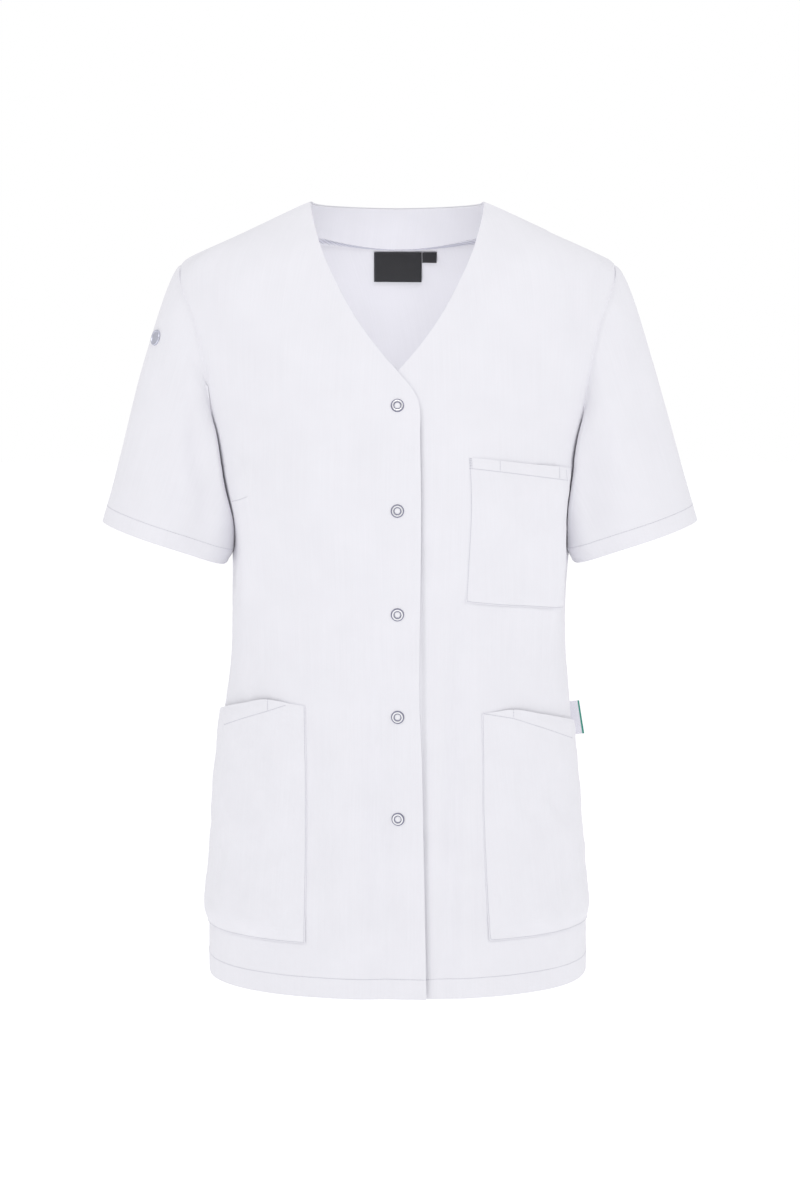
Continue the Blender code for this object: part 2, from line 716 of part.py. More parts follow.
def make_sleeve(cut, material, collection):
    points, normals = sleeve_points(cut.cuff_centre)
    steps = points.shape[1] - 1
    for j, along in enumerate(SLEEVE_STEPS[::-1]):
        for k in range(steps + 1):
            turn = 180 - 360 * k / steps
            points[j, k] += sleeve_rise(cut.folds, turn, along) * normals[j, k]
            if abs(turn) > UNDERSIDE_TURN:
                points[j, k] = clear_of_body(points[j, k], along, cut.side)
    inner = points - WALL * normals
    if cut.side < 0:
        points = points[:, ::-1] * (-1, 1, 1)
        inner = inner[:, ::-1] * (-1, 1, 1)
    cloth_piece(cut.name, points, inner, material, collection, tube=True)


def sleeve_place(cut, turn, along):
    """Point and outward direction of a sleeve's outer face."""
    points, normals = sleeve_points(cut.cuff_centre)
    steps = points.shape[1] - 1
    column = (180 - turn) / 360 * steps
    left = int(column)
    share = column - left
    row = float(np.interp(1 - along, 1 - np.array(SLEEVE_STEPS[::-1]), range(len(SLEEVE_STEPS))))
    low = int(row)
    part = row - low

    def blend(table):
        lower = (1 - share) * table[low, left] + share * table[low, left + 1]
        upper = (1 - share) * table[low + 1, left] + share * table[low + 1, left + 1]
        return (1 - part) * lower + part * upper

    normal = blend(normals) / np.linalg.norm(blend(normals))
    point = blend(points) + sleeve_rise(cut.folds, turn, along) * normal
    return point * (cut.side, 1, 1), normal * (cut.side, 1, 1)


# ---- Pockets ------------------------------------------------------------------------------------
def eased(t):
    t = min(max(t, 0.0), 1.0)
    return t * t * (3 - 2 * t)


def pocket_lift(u, v, puff):
    """How far a pocket stands off the panel: held down at its sides and bottom, open on top."""
    held = eased(u / PUFF_INNER) * eased((1 - u) / PUFF_OUTER) * eased(v / PUFF_BOTTOM)
    return puff * held * (1 - PUFF_LESS_AT_TOP * v)


def make_pocket(name, grid, across, up, puff, side, material, collection):
    lifts = np.array([[POCKET_GAP + pocket_lift(u, v, puff) for u in across] for v in up])
    if side < 0:
        grid = grid[:, ::-1]
        lifts = lifts[:, ::-1]
    grid = grid * (side, 1)
    cloth_piece(
        name,
        points_of(grid, lambda j, i: lifts[j, i] + POCKET_WALL),
        points_of(grid, lambda j, i: lifts[j, i]),
        material,
        collection,
    )


def edge_past(places, shares, fractions):
    """Edge that is straight from each place to the next, which it reaches at the given shares."""
    places = np.array(places, float)
    return np.column_stack([np.interp(fractions, shares, places[:, k]) for k in (0, 1)])


def straight_edge(start, end, fractions):
    return edge_past([start, end], (0, 1), fractions)


def make_side_pocket(cut, material, collection):
    def own(point):
        angle, height = place_across(cut.side * point.x, point.height)
        return cut.side * angle, height

    across = closer_at_ends(POCKET_COLUMNS)
    up = closer_at_ends(POCKET_ROWS)
    outer_bottom = (POCKET_SIDE, cut.outer_bottom)
    outer_top = (POCKET_SIDE, cut.outer_top)
    grid = grid_between(
        straight_edge(own(cut.inner_bottom), outer_bottom, across),
        edge_past([own(cut.inner_top), own(cut.peak), outer_top], (0, PEAK_SHARE, 1), across),
        straight_edge(own(cut.inner_bottom), own(cut.inner_top), up),
        straight_edge(outer_bottom, outer_top, up),
        across,
        up,
    )
    make_pocket(cut.name, grid, across, up, cut.puff, cut.side, material, collection)


def make_chest_pocket(material, collection):
    inner_top, outer_top = (place_across(*point) for point in CHEST_POCKET_TOP)
    inner_bottom, outer_bottom = (place_across(*point) for point in CHEST_POCKET_BOTTOM)
    bend = place_across(*CHEST_POCKET_OUTER)
    across = closer_at_ends(CHEST_POCKET_COLUMNS)
    up = closer_at_ends(CHEST_POCKET_ROWS)
    bend_share = (bend[1] - outer_bottom[1]) / (outer_top[1] - outer_bottom[1])
    grid = grid_between(
        straight_edge(inner_bottom, outer_bottom, across),
        straight_edge(inner_top, outer_top, across),
        straight_edge(inner_bottom, inner_top, up),
        edge_past([outer_bottom, bend, outer_top], (0, bend_share, 1), up),
        across,
        up,
    )
    make_pocket("chest_pocket", grid, across, up, CHEST_POCKET_PUFF, 1, material, collection)


# ---- Labels -------------------------------------------------------------------------------------
def make_neck_label(label, material, collection):
    """Tape hung from the facing's seam; its lower outer corner lifts off the back."""
    rows = []
    depths = []
    for v in even(LABEL_ROWS):
        height = FACING_LOW - LAYER_GAP - label.height * (1 - v)
        left = place_across(label.x_to, height, behind=True)
        right = place_across(label.x_from, height, behind=True)
        rows.append(straight_edge(left, right, even(LABEL_COLUMNS)))
        lifts = [label.lift * (1 - v) ** 2 * (1 - u / 2) for u in even(LABEL_COLUMNS)]
        depths.append([-(WALL + LAYER_GAP + lift) for lift in lifts])
    cloth_piece(
        label.name,
        points_of(rows, lambda j, i: depths[j][i]),
        points_of(rows, lambda j, i: depths[j][i] - LABEL_WALL),
        material,
        collection,
    )


def make_side_label(material, collection):
    """Folded tape caught in the left side seam, standing straight out of it."""
    faces = []
    for half in (-1, 1):
        rows = []
        for v in even(LABEL_ROWS):
            height = SIDE_LABEL_TOP - SIDE_LABEL_DROP * (1 - v)
            swing = SIDE_LABEL_SWING * (1 - v)
            row = []
            for u in even(SIDE_LABEL_COLUMNS):
                out = LAYER_GAP + swing + SIDE_LABEL_REACH * u
                point = cloth_point(SIDE_SEAM, height, out)
                row.append(point + np.array((0, half * LABEL_WALL / 2, 0)))
            rows.append(row)
        faces.append(np.array(rows))
    cloth_piece("side_label", faces[0], faces[1], material, collection)


# ---- Snaps and stud -----------------------------------------------------------------------------
def make_snaps(material, collection):
    lift = METAL_GAP + SNAP_METAL * SNAP_FLATNESS
    inside = -(2 * WALL + LAYER_GAP) - lift
    for k in range(SNAP_COUNT):
        height = SNAP_TOP - SNAP_PITCH * k
        normal = form_normal(0, height)
        ring(f"snap_cap_{k + 1}", cloth_point(0, height, lift), normal, SNAP_RING,
             material, collection)
        ring(f"snap_back_{k + 1}", cloth_point(0, height, inside), normal, BACK_RING,
             material, collection)


def make_stud(material, collection):
    """Low round stud on the wearer's right sleeve."""
    point, normal = map(Vector, sleeve_place(SLEEVES[1], STUD_TURN, STUD_ALONG))
    bm = bmesh.new()
    bmesh.ops.create_cone(
        bm, cap_ends=True, segments=STUD_STEPS, radius1=STUD_RADIUS, radius2=STUD_RADIUS,
        depth=STUD_HEIGHT,
    )
    rim = [edge for edge in bm.edges if all(v.co.z > 0 for v in edge.verts)]
    bmesh.ops.bevel(
        bm, geom=rim, offset=STUD_BEVEL, segments=1, profile=0.5, affect="EDGES", material=-1
    )
    made = object_from("sleeve_stud", bm, material, collection)
    made.rotation_euler = normal.to_track_quat("Z", "Y").to_euler()
    made.location = point + normal * (METAL_GAP + STUD_LIFT + STUD_HEIGHT / 2)


# ---- The tunic ----------------------------------------------------------------------------------
def main():
    for old in list(bpy.data.objects):
        bpy.data.objects.remove(old)
    collection = collection_named("work_tunic")
    cloth = finish("white_twill", WHITE_CLOTH, 0.85)
    tape = finish("black_tape", BLACK_TAPE, 0.70)
    label_tape = finish("label_tape", LABEL_TAPE, 0.60)
    steel = finish("steel", STEEL, 0.30, metallic=1.0)
    make_fronts(cloth, collection)
    back_grid = make_back(cloth, collection)
    make_facing(back_grid, cloth, collection)
    for cut in SLEEVES:
        make_sleeve(cut, cloth, collection)
    make_chest_pocket(cloth, collection)
    for cut in SIDE_POCKETS:
        make_side_pocket(cut, cloth, collection)
    for label in NECK_LABELS:
        make_neck_label(label, tape, collection)
    make_side_label(label_tape, collection)
    make_snaps(steel, collection)
    make_stud(steel, collection)


main()
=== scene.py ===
# %% [markdown]
# # A white work tunic
# A work tunic is a light coat of white twill: two fronts that close with ring snaps, one back, two
# short sleeves, a pocket on the chest and one on each side of the hem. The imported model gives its
# plain form as closed solids. This lesson dresses that form: each solid of cloth is exchanged for
# a thin shell with creases, hems and stitches, and each metal or tape piece gets its real profile.
# %% Load the plain form
import math
from collections import namedtuple

import bmesh
import bpy
import numpy as np
from mathutils import Matrix, Vector, noise
from mathutils.bvhtree import BVHTree
from mathutils.kdtree import KDTree


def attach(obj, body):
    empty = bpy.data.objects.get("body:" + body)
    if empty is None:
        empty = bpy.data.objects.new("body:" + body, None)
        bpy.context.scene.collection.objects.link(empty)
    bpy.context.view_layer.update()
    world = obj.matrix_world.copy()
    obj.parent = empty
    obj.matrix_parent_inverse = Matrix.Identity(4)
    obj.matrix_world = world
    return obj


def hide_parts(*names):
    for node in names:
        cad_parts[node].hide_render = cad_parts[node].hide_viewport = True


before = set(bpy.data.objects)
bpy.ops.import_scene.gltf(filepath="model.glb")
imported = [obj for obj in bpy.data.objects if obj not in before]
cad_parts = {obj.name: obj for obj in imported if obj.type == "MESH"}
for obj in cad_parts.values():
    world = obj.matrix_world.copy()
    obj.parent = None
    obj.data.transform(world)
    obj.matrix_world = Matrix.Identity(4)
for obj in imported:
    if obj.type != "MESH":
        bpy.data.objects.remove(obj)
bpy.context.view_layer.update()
MM = 0.001

# %% [markdown]
# ## The camera
# The picture was taken from straight in front, a little above the middle of the tunic and tipped
# down by a few degrees, with a long lens from about two and a half metres. A long lens keeps the
# sleeves as large as the chest, so the camera stands far off and its field is narrow.
# %% Place the camera
EYE = Vector((0.0023, -2.6, -0.05))
TIPPED_DOWN = math.radians(6.43)
scene = bpy.context.scene


def placed(name, data):
    """A new object in the scene."""
    made = bpy.data.objects.new(name, data)
    scene.collection.objects.link(made)
    return made


camera = placed("camera", bpy.data.cameras.new("camera"))
camera.data.lens = 83.85
camera.data.sensor_width = 36.0
camera.data.sensor_fit = "AUTO"
camera.location = EYE
camera.rotation_euler = (math.pi / 2 - TIPPED_DOWN, 0, 0)
bpy.context.scene.camera = camera

# %% [markdown]
# ## Light and floor
# White cloth on a white ground only shows its folds where a little light is missing. Most of the
# light comes evenly from the sky, and the rest from soft lamps: one on each side, which shade the
# folds, one in front, one above, and a very weak one inside the body, where little light comes in.
# The ground behind is paper white as in a catalogue: the sky is seen a little whiter than it
# shines, and the floor glows faintly.
# %% Light the studio
SKY_SEEN, SKY_SHINES = 1.0, 0.74
TUNIC_MIDDLE = (0, 0, -0.35)
LAMPS = (  # name, place, what it looks at, watts, size
    ("left_lamp", (-2.8, -1.6, 2.1), TUNIC_MIDDLE, 21.0, 0.9),
    ("front_lamp", (0.0, -1.5, 1.05), TUNIC_MIDDLE, 4.1, 0.5),
    ("right_lamp", (2.8, -1.6, 1.9), TUNIC_MIDDLE, 21.0, 1.1),
    ("top_lamp", (0.0, 0.8, 2.6), TUNIC_MIDDLE, 5.0, 2.0),
    ("inner_lamp", (-0.01, -0.045, -0.115), (0.005, 0.10, -0.040), 0.140, 0.06),
)
scene.view_settings.view_transform = "Standard"
world = bpy.data.worlds.new("studio")
world.use_nodes = True
world.node_tree.nodes["Background"].inputs["Color"].default_value = (1, 1, 1, 1)
nodes, links = world.node_tree.nodes, world.node_tree.links
seen_or_shining = nodes.new("ShaderNodeMix")
seen_or_shining.inputs[2].default_value = SKY_SHINES
seen_or_shining.inputs[3].default_value = SKY_SEEN
links.new(nodes.new("ShaderNodeLightPath").outputs["Is Camera Ray"], seen_or_shining.inputs[0])
links.new(seen_or_shining.outputs[0], nodes["Background"].inputs["Strength"])
scene.world = world
for name, place, towards, watts, size in LAMPS:
    lamp = placed(name, bpy.data.lights.new(name, "AREA"))
    lamp.data.energy = watts
    lamp.data.size = size
    lamp.location = place
    lamp.rotation_euler = (Vector(towards) - Vector(place)).to_track_quat("-Z", "Y").to_euler()
    lamp.visible_camera = name != "inner_lamp"
print("lamps:", ", ".join(f"{name} {watts} W" for name, _, _, watts, _ in LAMPS))

# %% Lay the floor
FLOOR_HEIGHT = -1.1


def mesh_from(bm, name):
    """Ends the work on a mesh and returns it."""
    mesh = bpy.data.meshes.new(name)
    bm.to_mesh(mesh)
    bm.free()
    return mesh


bm = bmesh.new()
bmesh.ops.create_grid(bm, x_segments=1, y_segments=1, size=14.0)
bmesh.ops.translate(bm, verts=bm.verts, vec=(0, 0, FLOOR_HEIGHT))
floor = placed("floor", mesh_from(bm, "floor"))
paper = bpy.data.materials.new("floor_paper")
paper.use_nodes = True
shader = paper.node_tree.nodes["Principled BSDF"]
shader.inputs["Base Color"].default_value = (0.80, 0.80, 0.81, 1)
shader.inputs["Roughness"].default_value = 1.0
shader.inputs["Specular IOR Level"].default_value = 0.0
shader.inputs["Emission Color"].default_value = (1, 1, 1, 1)
shader.inputs["Emission Strength"].default_value = 0.48
floor.data.materials.append(paper)

# %% [markdown]
# ## The white twill
# Twill is woven so that each thread steps one over at every row, which leaves fine diagonal ribs.
# From a distance only faint vertical streaks show, where one warp thread is a little thicker than
# the next. The pattern is drawn in metres on the flat cloth, so it follows every piece round the
# body as the weave does.
# %% A helper for node chains
def new_finish(name):
    """A new material, with short ways to add a node, to shade a colour and to feed the shader."""
    made = bpy.data.materials.new(name)
    made.use_nodes = True
    nodes, links = made.node_tree.nodes, made.node_tree.links

    def feed(node, inputs):
        for socket, value in dict(inputs).items():
            if isinstance(value, bpy.types.NodeSocket):
                links.new(value, node.inputs[socket])
            else:
                node.inputs[socket].default_value = value

    def add(kind, inputs=(), out=0, **settings):
        node = nodes.new(kind)
        for key, value in settings.items():
            setattr(node, key, value)
        feed(node, inputs)
        return node.outputs[out]

    def shaded(colour, value, least, most, span=(0, 1)):
        """The colour times least to most, as the value runs over its span."""
        tint = add("ShaderNodeMapRange", {"Value": value, "From Min": span[0], "From Max": span[1],
                                          "To Min": least, "To Max": most})
        return add("ShaderNodeVectorMath", {0: colour, "Scale": tint}, operation="SCALE")

    def finished(inputs):
        feed(nodes["Principled BSDF"], inputs)
        return made

    return add, shaded, finished


# %% Mix the twill
CLOTH_WHITE = (0.760, 0.755, 0.798)
RIBS_PER_METRE = 1500
RIBS_SLANT = math.radians(27)


def twill(name, white):
    """White twill: diagonal ribs, vertical streaks and a faint unevenness of colour."""
    add, shaded, finished = new_finish(name)
    flat = add("ShaderNodeUVMap", uv_map="flat")
    turned = add("ShaderNodeMapping", {"Vector": flat, "Rotation": (0, 0, RIBS_SLANT),
                                       "Scale": (RIBS_PER_METRE, RIBS_PER_METRE, 1)})
    ribs = add("ShaderNodeTexWave", {"Vector": turned, "Scale": 2 / math.tau, "Distortion": 0.6,
                                     "Detail": 1.0}, "Fac")
    long_way = add("ShaderNodeMapping", {"Vector": flat, "Scale": (900, 12, 1)})
    streaks = add("ShaderNodeTexNoise", {"Vector": long_way, "Scale": 1.0, "Detail": 3.0,
                                         "Roughness": 0.6}, "Fac")
    broad = add("ShaderNodeTexNoise", {"Vector": flat, "Scale": 26.0, "Detail": 2.0}, "Fac")
    shade = add("ShaderNodeMath", {0: streaks, 1: broad}, operation="ADD")
    fine = add("ShaderNodeBump", {"Height": ribs, "Strength": 0.3, "Distance": 0.06 * MM})
    bump = add("ShaderNodeBump", {"Height": streaks, "Strength": 0.20, "Distance": 0.12 * MM,
                                  "Normal": fine})
    return finished({
        "Base Color": shaded(white, shade, 0.979, 1.014, span=(0.7, 1.3)), "Normal": bump,
        "Roughness": 0.88, "Specular IOR Level": 0.25, "Sheen Weight": 0.10,
        "Sheen Roughness": 0.6,
    })


white_twill = twill("white_twill_cloth", CLOTH_WHITE)

# %% [markdown]
# ## From a solid to its cloth
# A piece of cloth in the plain form is a closed wall with an outer and an inner face. The shell
# only needs the outer face: the narrow faces round the rim are found by their short edges and
# taken off, the triangles are joined back into the rows and columns they came from, and the face
# that looks away from the body is kept.
# %% Keep the outer face
WALL = 1.4         # thickness of the body and the sleeves in the plain form, mm
OTHER_WALLS = {"pocket_left": 1.3, "pocket_right": 1.3, "chest_pocket": 1.3,
               "back_neck_facing": 1.1, "neck_label": 1.0, "size_tab": 1.0, "side_label": 1.0}
RIM_FACE = 1.25    # a rim's faces have an edge shorter than this many walls
SLEEVE_MIDDLE = {"sleeve_left": 0.205, "sleeve_right": -0.205}


def editable(mesh):
    bm = bmesh.new()
    bm.from_mesh(mesh)
    return bm


def islands(bm):
    """The separate sheets of a mesh, each as a list of faces."""
    waiting, sheets = set(bm.faces), []
    while waiting:
        reached, sheet = [waiting.pop()], []
        while reached:
            face = reached.pop()
            sheet.append(face)
            near = {other for edge in face.edges for other in edge.link_faces} & waiting
            waiting -= near
            reached.extend(near)
        sheets.append(sheet)
    return sheets


def outer_face(name):
    """The outer face of a cloth node as a mesh of quads."""
    bm = editable(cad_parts[name].data)
    bmesh.ops.remove_doubles(bm, verts=bm.verts, dist=0.01 * MM)
    shortest = RIM_FACE * OTHER_WALLS.get(name, WALL) * MM
    rim = [face for face in bm.faces if min(edge.calc_length() for edge in face.edges) < shortest]
    bmesh.ops.delete(bm, geom=rim, context="FACES")
    bmesh.ops.join_triangles(
        bm, faces=bm.faces, angle_face_threshold=math.radians(80),
        angle_shape_threshold=math.pi, topology_influence=1.5,
    )
    middle = Vector((SLEEVE_MIDDLE.get(name, 0.0), 0, 0))

    def looks_out(sheet):
        return sum(face.calc_area() * face.normal.xy.dot((face.calc_center_median() - middle).xy)
                   for face in sheet)

    sheets = sorted(islands(bm), key=len)[-2:]
    keep = set(max(sheets, key=looks_out))
    bmesh.ops.delete(bm, geom=[face for face in bm.faces if face not in keep], context="FACES")
    return bm


# %% [markdown]
# ## Keep the size while smoothing
# Subdivision rounds a mesh and pulls it in between its points, so a sleeve would become thinner
# than the form. Each point is moved out beforehand by exactly what the smoothing will take off it.
# The back's rows crowd together at the tip of each shoulder, so they are evened out before that.
# %% Make up for the smoothing
SHOULDER_TIPS = (Vector((0.200, 0, -0.030)), Vector((-0.200, 0, -0.030)))


def calm_corners(bm, reach=0.11, rounds=24):
    """Evens out the crowded rows of the back where the shoulder meets the armhole."""
    form = BVHTree.FromBMesh(bm)
    near = [v for v in bm.verts if not v.is_boundary
            and min((v.co - corner).length for corner in SHOULDER_TIPS) < reach]
    for turn in range(rounds):
        bmesh.ops.smooth_vert(bm, verts=near, factor=0.5,
                              use_axis_x=True, use_axis_y=True, use_axis_z=True)
        if turn < rounds - 2:
            for v in near:
                v.co = form.find_nearest(v.co)[0]


def settled(v):
    """Where subdivision will bring this point."""
    if v.is_boundary:
        ends = [edge.other_vert(v).co for edge in v.link_edges if edge.is_boundary]
        return (4 * v.co + ends[0] + ends[1]) / 6
    count = len(v.link_edges)
    beside = sum((edge.other_vert(v).co for edge in v.link_edges), Vector())
    across = Vector()
    for face in v.link_faces:
        others = [near for near in face.verts if near is not v
                  and not any(near in edge.verts for edge in v.link_edges)]
        across += others[0].co if others else v.co
    return (count * count * v.co + 4 * beside + across) / (count * (count + 5))


def make_up_for_smoothing(bm):
    moves = {v: v.co - settled(v) for v in bm.verts if len(v.link_faces) > 1}
    for v, move in moves.items():
        v.co += move
    return max(move.length for move in moves.values())


# %% [markdown]
# ## The flat pattern
# A tailor cuts each piece flat. Unwrapping does the same: it lays the piece out with as little
# stretch as it can, and the result is turned so that the warp runs down the body and scaled to
# metres. It carries the weave, and its extent is the size of the cloth that it was cut from.
# %% Unwrap a piece
def seam_under_arm(bm):
    """Opens a sleeve's pattern along the line of edges that runs down next to the body."""
    here = min((v for v in bm.verts if v.is_boundary), key=lambda v: v.co.z + 4 * abs(v.co.x))
    edge = next((edge for edge in here.link_edges if not edge.is_boundary), None)
    while edge is not None:
        edge.seam = True
        here = edge.other_vert(here)
        beside = set(edge.link_faces)
        ahead = [other for other in here.link_edges if not set(other.link_faces) & beside]
        edge = ahead[0] if ahead and not here.is_boundary else None


def unwrapped(name, bm, tube=False):
    """An object of the piece with its flat pattern as a UV map, in metres, warp along V."""
    if tube:
        seam_under_arm(bm)
    bm.loops.layers.uv.new("flat")
    made = placed(name, mesh_from(bm, name))
    bpy.ops.object.select_all(action="DESELECT")
    bpy.context.view_layer.objects.active = made
    made.select_set(True)
    bpy.ops.object.mode_set(mode="EDIT")
    bpy.ops.mesh.select_all(action="SELECT")
    bpy.ops.uv.unwrap(method="ANGLE_BASED", margin=0.0)
    bpy.ops.object.mode_set(mode="OBJECT")
    return made


def true_to_size(made):
    """Turns and scales the pattern, and returns its width, its length and the cloth's area."""
    mesh = made.data
    layer = mesh.uv_layers["flat"]
    flat = np.empty(2 * len(mesh.loops))
    layer.uv.foreach_get("vector", flat)
    flat = flat.reshape(-1, 2)
    of_loop = np.empty(len(mesh.loops), int)
    mesh.loops.foreach_get("vertex_index", of_loop)
    places = np.array([v.co for v in mesh.vertices])[of_loop]
    area = sum(face.area for face in mesh.polygons)
    flat_area = 0.0
    for face in mesh.polygons:
        corners = flat[face.loop_start:face.loop_start + face.loop_total]
        nexts = np.roll(corners, -1, axis=0)
        flat_area += abs(np.sum(corners[:, 0] * nexts[:, 1] - corners[:, 1] * nexts[:, 0])) / 2
    flat = (flat - flat.mean(axis=0)) * math.sqrt(area / flat_area)
    up = flat.T @ (places[:, 2] - places[:, 2].mean())
    up /= np.linalg.norm(up)
    flat = np.column_stack([flat @ (up[1], -up[0]), flat @ up])
    layer.uv.foreach_set("vector", flat.ravel())
    return (*(flat.max(axis=0) - flat.min(axis=0)), area)


# %% [markdown]
# ## Seams
# Where two pieces are sewn together their rims meet in a shallow groove. In the plain form a
# hair's breadth is left between them, so the later piece's rim is moved onto the earlier one's. A
# seam is found as the part of a rim that runs next to another piece's rim.
# %% Find the seams
def open_rims(bm):
    """The open edges of a mesh, each as a list of points in order."""
    waiting, rims = {edge for edge in bm.edges if edge.is_boundary}, []
    while waiting:
        edge = next(edge for edge in bm.edges if edge in waiting)
        waiting.remove(edge)
        first, here = edge.verts
        rim = [first.co.copy(), here.co.copy()]
        while True:
            ahead = [near for near in here.link_edges if near in waiting]
            if not ahead:
                break
            waiting.remove(ahead[0])
            here = ahead[0].other_vert(here)
            rim.append(here.co.copy())
        rims.append(rim)
    return rims


def rims_of(mesh):
    bm = editable(mesh)
    rims = open_rims(bm)
    bm.free()
    return rims


def lowest(rims):
    """The rim that lies lowest, which is a sleeve's cuff."""
    return min(rims, key=lambda rim: sum(p.z for p in rim) / len(rim))


def stepped(points, step):
    """The same line with its points at even steps."""
    line = np.array([tuple(p) for p in points])
    lengths = np.append(0, np.cumsum(np.linalg.norm(np.diff(line, axis=0), axis=1)))
    count = max(2, round(lengths[-1] / step))
    wanted = np.linspace(0, lengths[-1], count + 1)
    return [Vector(row) for row in np.column_stack([np.interp(wanted, lengths, line[:, k])
                                                    for k in range(3)])]


def tree_of(places):
    tree = KDTree(len(places))
    for index, place in enumerate(places):
        tree.insert(place, index)
    tree.balance()
    return tree


SEWN_WITHIN = 1.5 * MM
sewn_nodes = ("back", "front_left", "front_right", "sleeve_left", "sleeve_right")
plain_rims = {}
for node in sewn_nodes:
    bm = outer_face(node)
    plain_rims[node] = [p for rim in open_rims(bm) for p in stepped(rim, 1.0 * MM)]
    bm.free()
seam_of = {}
for node in sewn_nodes:
    others = tree_of([p for other in sewn_nodes if other != node for p in plain_rims[other]])
    seam_of[node] = [p for p in plain_rims[node] if others.find(p)[2] < SEWN_WITHIN]
    print(node, "is sewn along", round(len(seam_of[node]) * MM, 2), "m")

# %% Make two rims meet
SEAM_HALF = 2.6 * MM
GROOVE, ARMHOLE_GROOVE = 0.22 * MM, 0.55 * MM    # depths; the left armhole's shows most
LEFT_ARMHOLE = (0.14, -0.235)                    # it lies beyond this X and above this height


def from_line(points, line):
    """Distance of each point from the nearest point of a line."""
    tree = tree_of(line)
    return np.array([tree.find(p)[2] for p in points])


def bell(apart, width):
    """1 on a line, and softly less beside it."""
    return np.exp(-((apart / width) ** 2))


def groove(points, node):
    """Depth of the groove along a piece's seams."""
    armhole = (points[:, 0] > LEFT_ARMHOLE[0]) & (points[:, 2] > LEFT_ARMHOLE[1])
    deep = np.where(armhole, ARMHOLE_GROOVE, GROOVE)
    return deep * bell(from_line(points, seam_of[node]), SEAM_HALF)


def meet(points, mesh, earlier, reach):
    """Moves the rim of a piece onto the rims of pieces that are already sewn."""
    bm = editable(mesh)
    rim = [v.index for v in bm.verts if v.is_boundary]
    bm.free()
    sewn = tree_of([p for key in earlier for line in faces_of[key].rims
                    for p in stepped(line, 0.5 * MM)])
    for index in rim:
        place, _, apart = sewn.find(points[index])
        if apart < reach:
            points[index] = place


# %% [markdown]
# ## Creases
# Worn cloth is never smooth. A crease here is a soft trough or ridge along a line that is drawn as
# seen from the front, the back or a side, in millimetres, with its own depth and width. Every
# layer that lies under the line moves together, so a pocket stays on its front.
# %% Draw the creases
VIEWS = {"front": ((0, -1, 0), 0), "back": ((0, 1, 0), 0), "left": ((1, 0, 0), 1),
         "right": ((-1, 0, 0), 1)}   # the way to the viewer, and the axis across the view
CREASES = {   # start, end, depth and width of each
    "front": [
        # beside the neckline, and down each side of the chest
        ((-93, 12), (-104, -8), -1.6, 9),
        ((-112, -6), (-122, -60), -0.9, 10),
        ((67, -30), (66, -98), -2.0, 7),
        ((76, -36), (78, -90), 1.0, 7),
        ((163, -36), (162, -100), -2.0, 7),
        ((-170, -60), (-150, -118), -1.2, 10),
        # the fullness beside each bust dart, and the hollow below it
        ((-136, -206), (-130, -262), 3.2, 5),
        ((-138, -226), (-137, -318), -1.6, 4),
        ((147, -214), (152, -330), 1.6, 6),
        ((158, -250), (162, -350), -1.6, 7),
        # long soft folds that hang from the bust to the hem
        ((-24, -374), (-10, -684), -6.0, 14),
        ((-62, -420), (-50, -650), 4.0, 16),
        ((-40, -300), (-36, -480), 1.6, 13),
        ((56, -340), (46, -684), -6.0, 10),
        ((72, -390), (64, -650), 3.4, 10),
        ((96, -330), (78, -500), 1.2, 14),
        ((-144, -404), (-144, -446), -1.6, 6),
        ((-100, -310), (-112, -400), 1.0, 16),
        # drawn cloth over the lower pockets
        ((116, -498), (142, -570), -2.4, 8),
        ((134, -494), (158, -550), -2.0, 6),
        ((-150, -466), (-118, -566), -2.2, 9),
        ((-118, -440), (-104, -600), 1.8, 12),
        # pulls in the sleeves
        ((-192, -104), (-176, -134), -2.4, 8),
        ((-190, -150), (-176, -250), -3.0, 10),
        ((-238, -196), (-196, -244), -2.2, 12),
        ((208, -40), (224, -98), -2.0, 8),
        ((206, -150), (198, -226), 1.8, 10),
    ],
    "back": [
        # the back falls straight from the shoulder blades, with two deeper folds above the waist
        ((-96, -60), (-84, -300), 1.6, 18),
        ((88, -70), (92, -330), -2.0, 16),
        ((-30, -330), (-44, -660), -2.6, 18),
        ((34, -300), (52, -600), 2.0, 20),
        ((100, -380), (116, -670), -1.8, 15),
        ((-110, -400), (-122, -600), 1.4, 15),
        ((0, -40), (6, -180), -1.0, 14),
    ],
    "left": [
        # at the sides, below each armhole
        ((10, -260), (22, -380), -1.6, 10),
        ((30, -420), (18, -640), 1.4, 12),
    ],
    "right": [
        ((14, -270), (4, -400), -1.4, 10),
        ((-16, -430), (10, -620), 1.6, 13),
    ],
}


def creased(points, normals):
    """How far the creases move each point along its normal."""
    rise = np.zeros(len(points))
    for seen_from, creases in CREASES.items():
        way, across = VIEWS[seen_from]
        facing = np.clip(normals @ np.array(way), 0, 1)
        seen = points[:, (across, 2)] / MM
        for start, end, depth, width in creases:
            start, end = np.array(start, float), np.array(end, float)
            run = end - start
            along = np.clip(((seen - start) @ run) / (run @ run), 0, 1)
            apart = np.linalg.norm(seen - start - along[:, None] * run, axis=1)
            # it runs out softly at both ends
            taper = np.sin(np.pi * (0.08 + 0.84 * along)) ** 0.7
            rise += depth * MM * taper * bell(apart, width) * facing
    return rise


# %% [markdown]
# ## Sew a piece of cloth
# The outer face is subdivided, creased, and given its thickness inwards. Cloth is folded double at
# hems and facings, so a weight says where the shell is thick. The outer face is also kept on its
# own: stitches and tapes are laid on it later.
# %% Turn a pattern piece into a shell
SINGLE, DOUBLE = 0.9 * MM, 1.6 * MM
LEVELS = 3        # of smoothing
faces_of = {}     # each piece's outer face, for what is laid on it
pattern_of = {}   # width, length and area of the flat cloth
Face = namedtuple("Face", "surface rims")


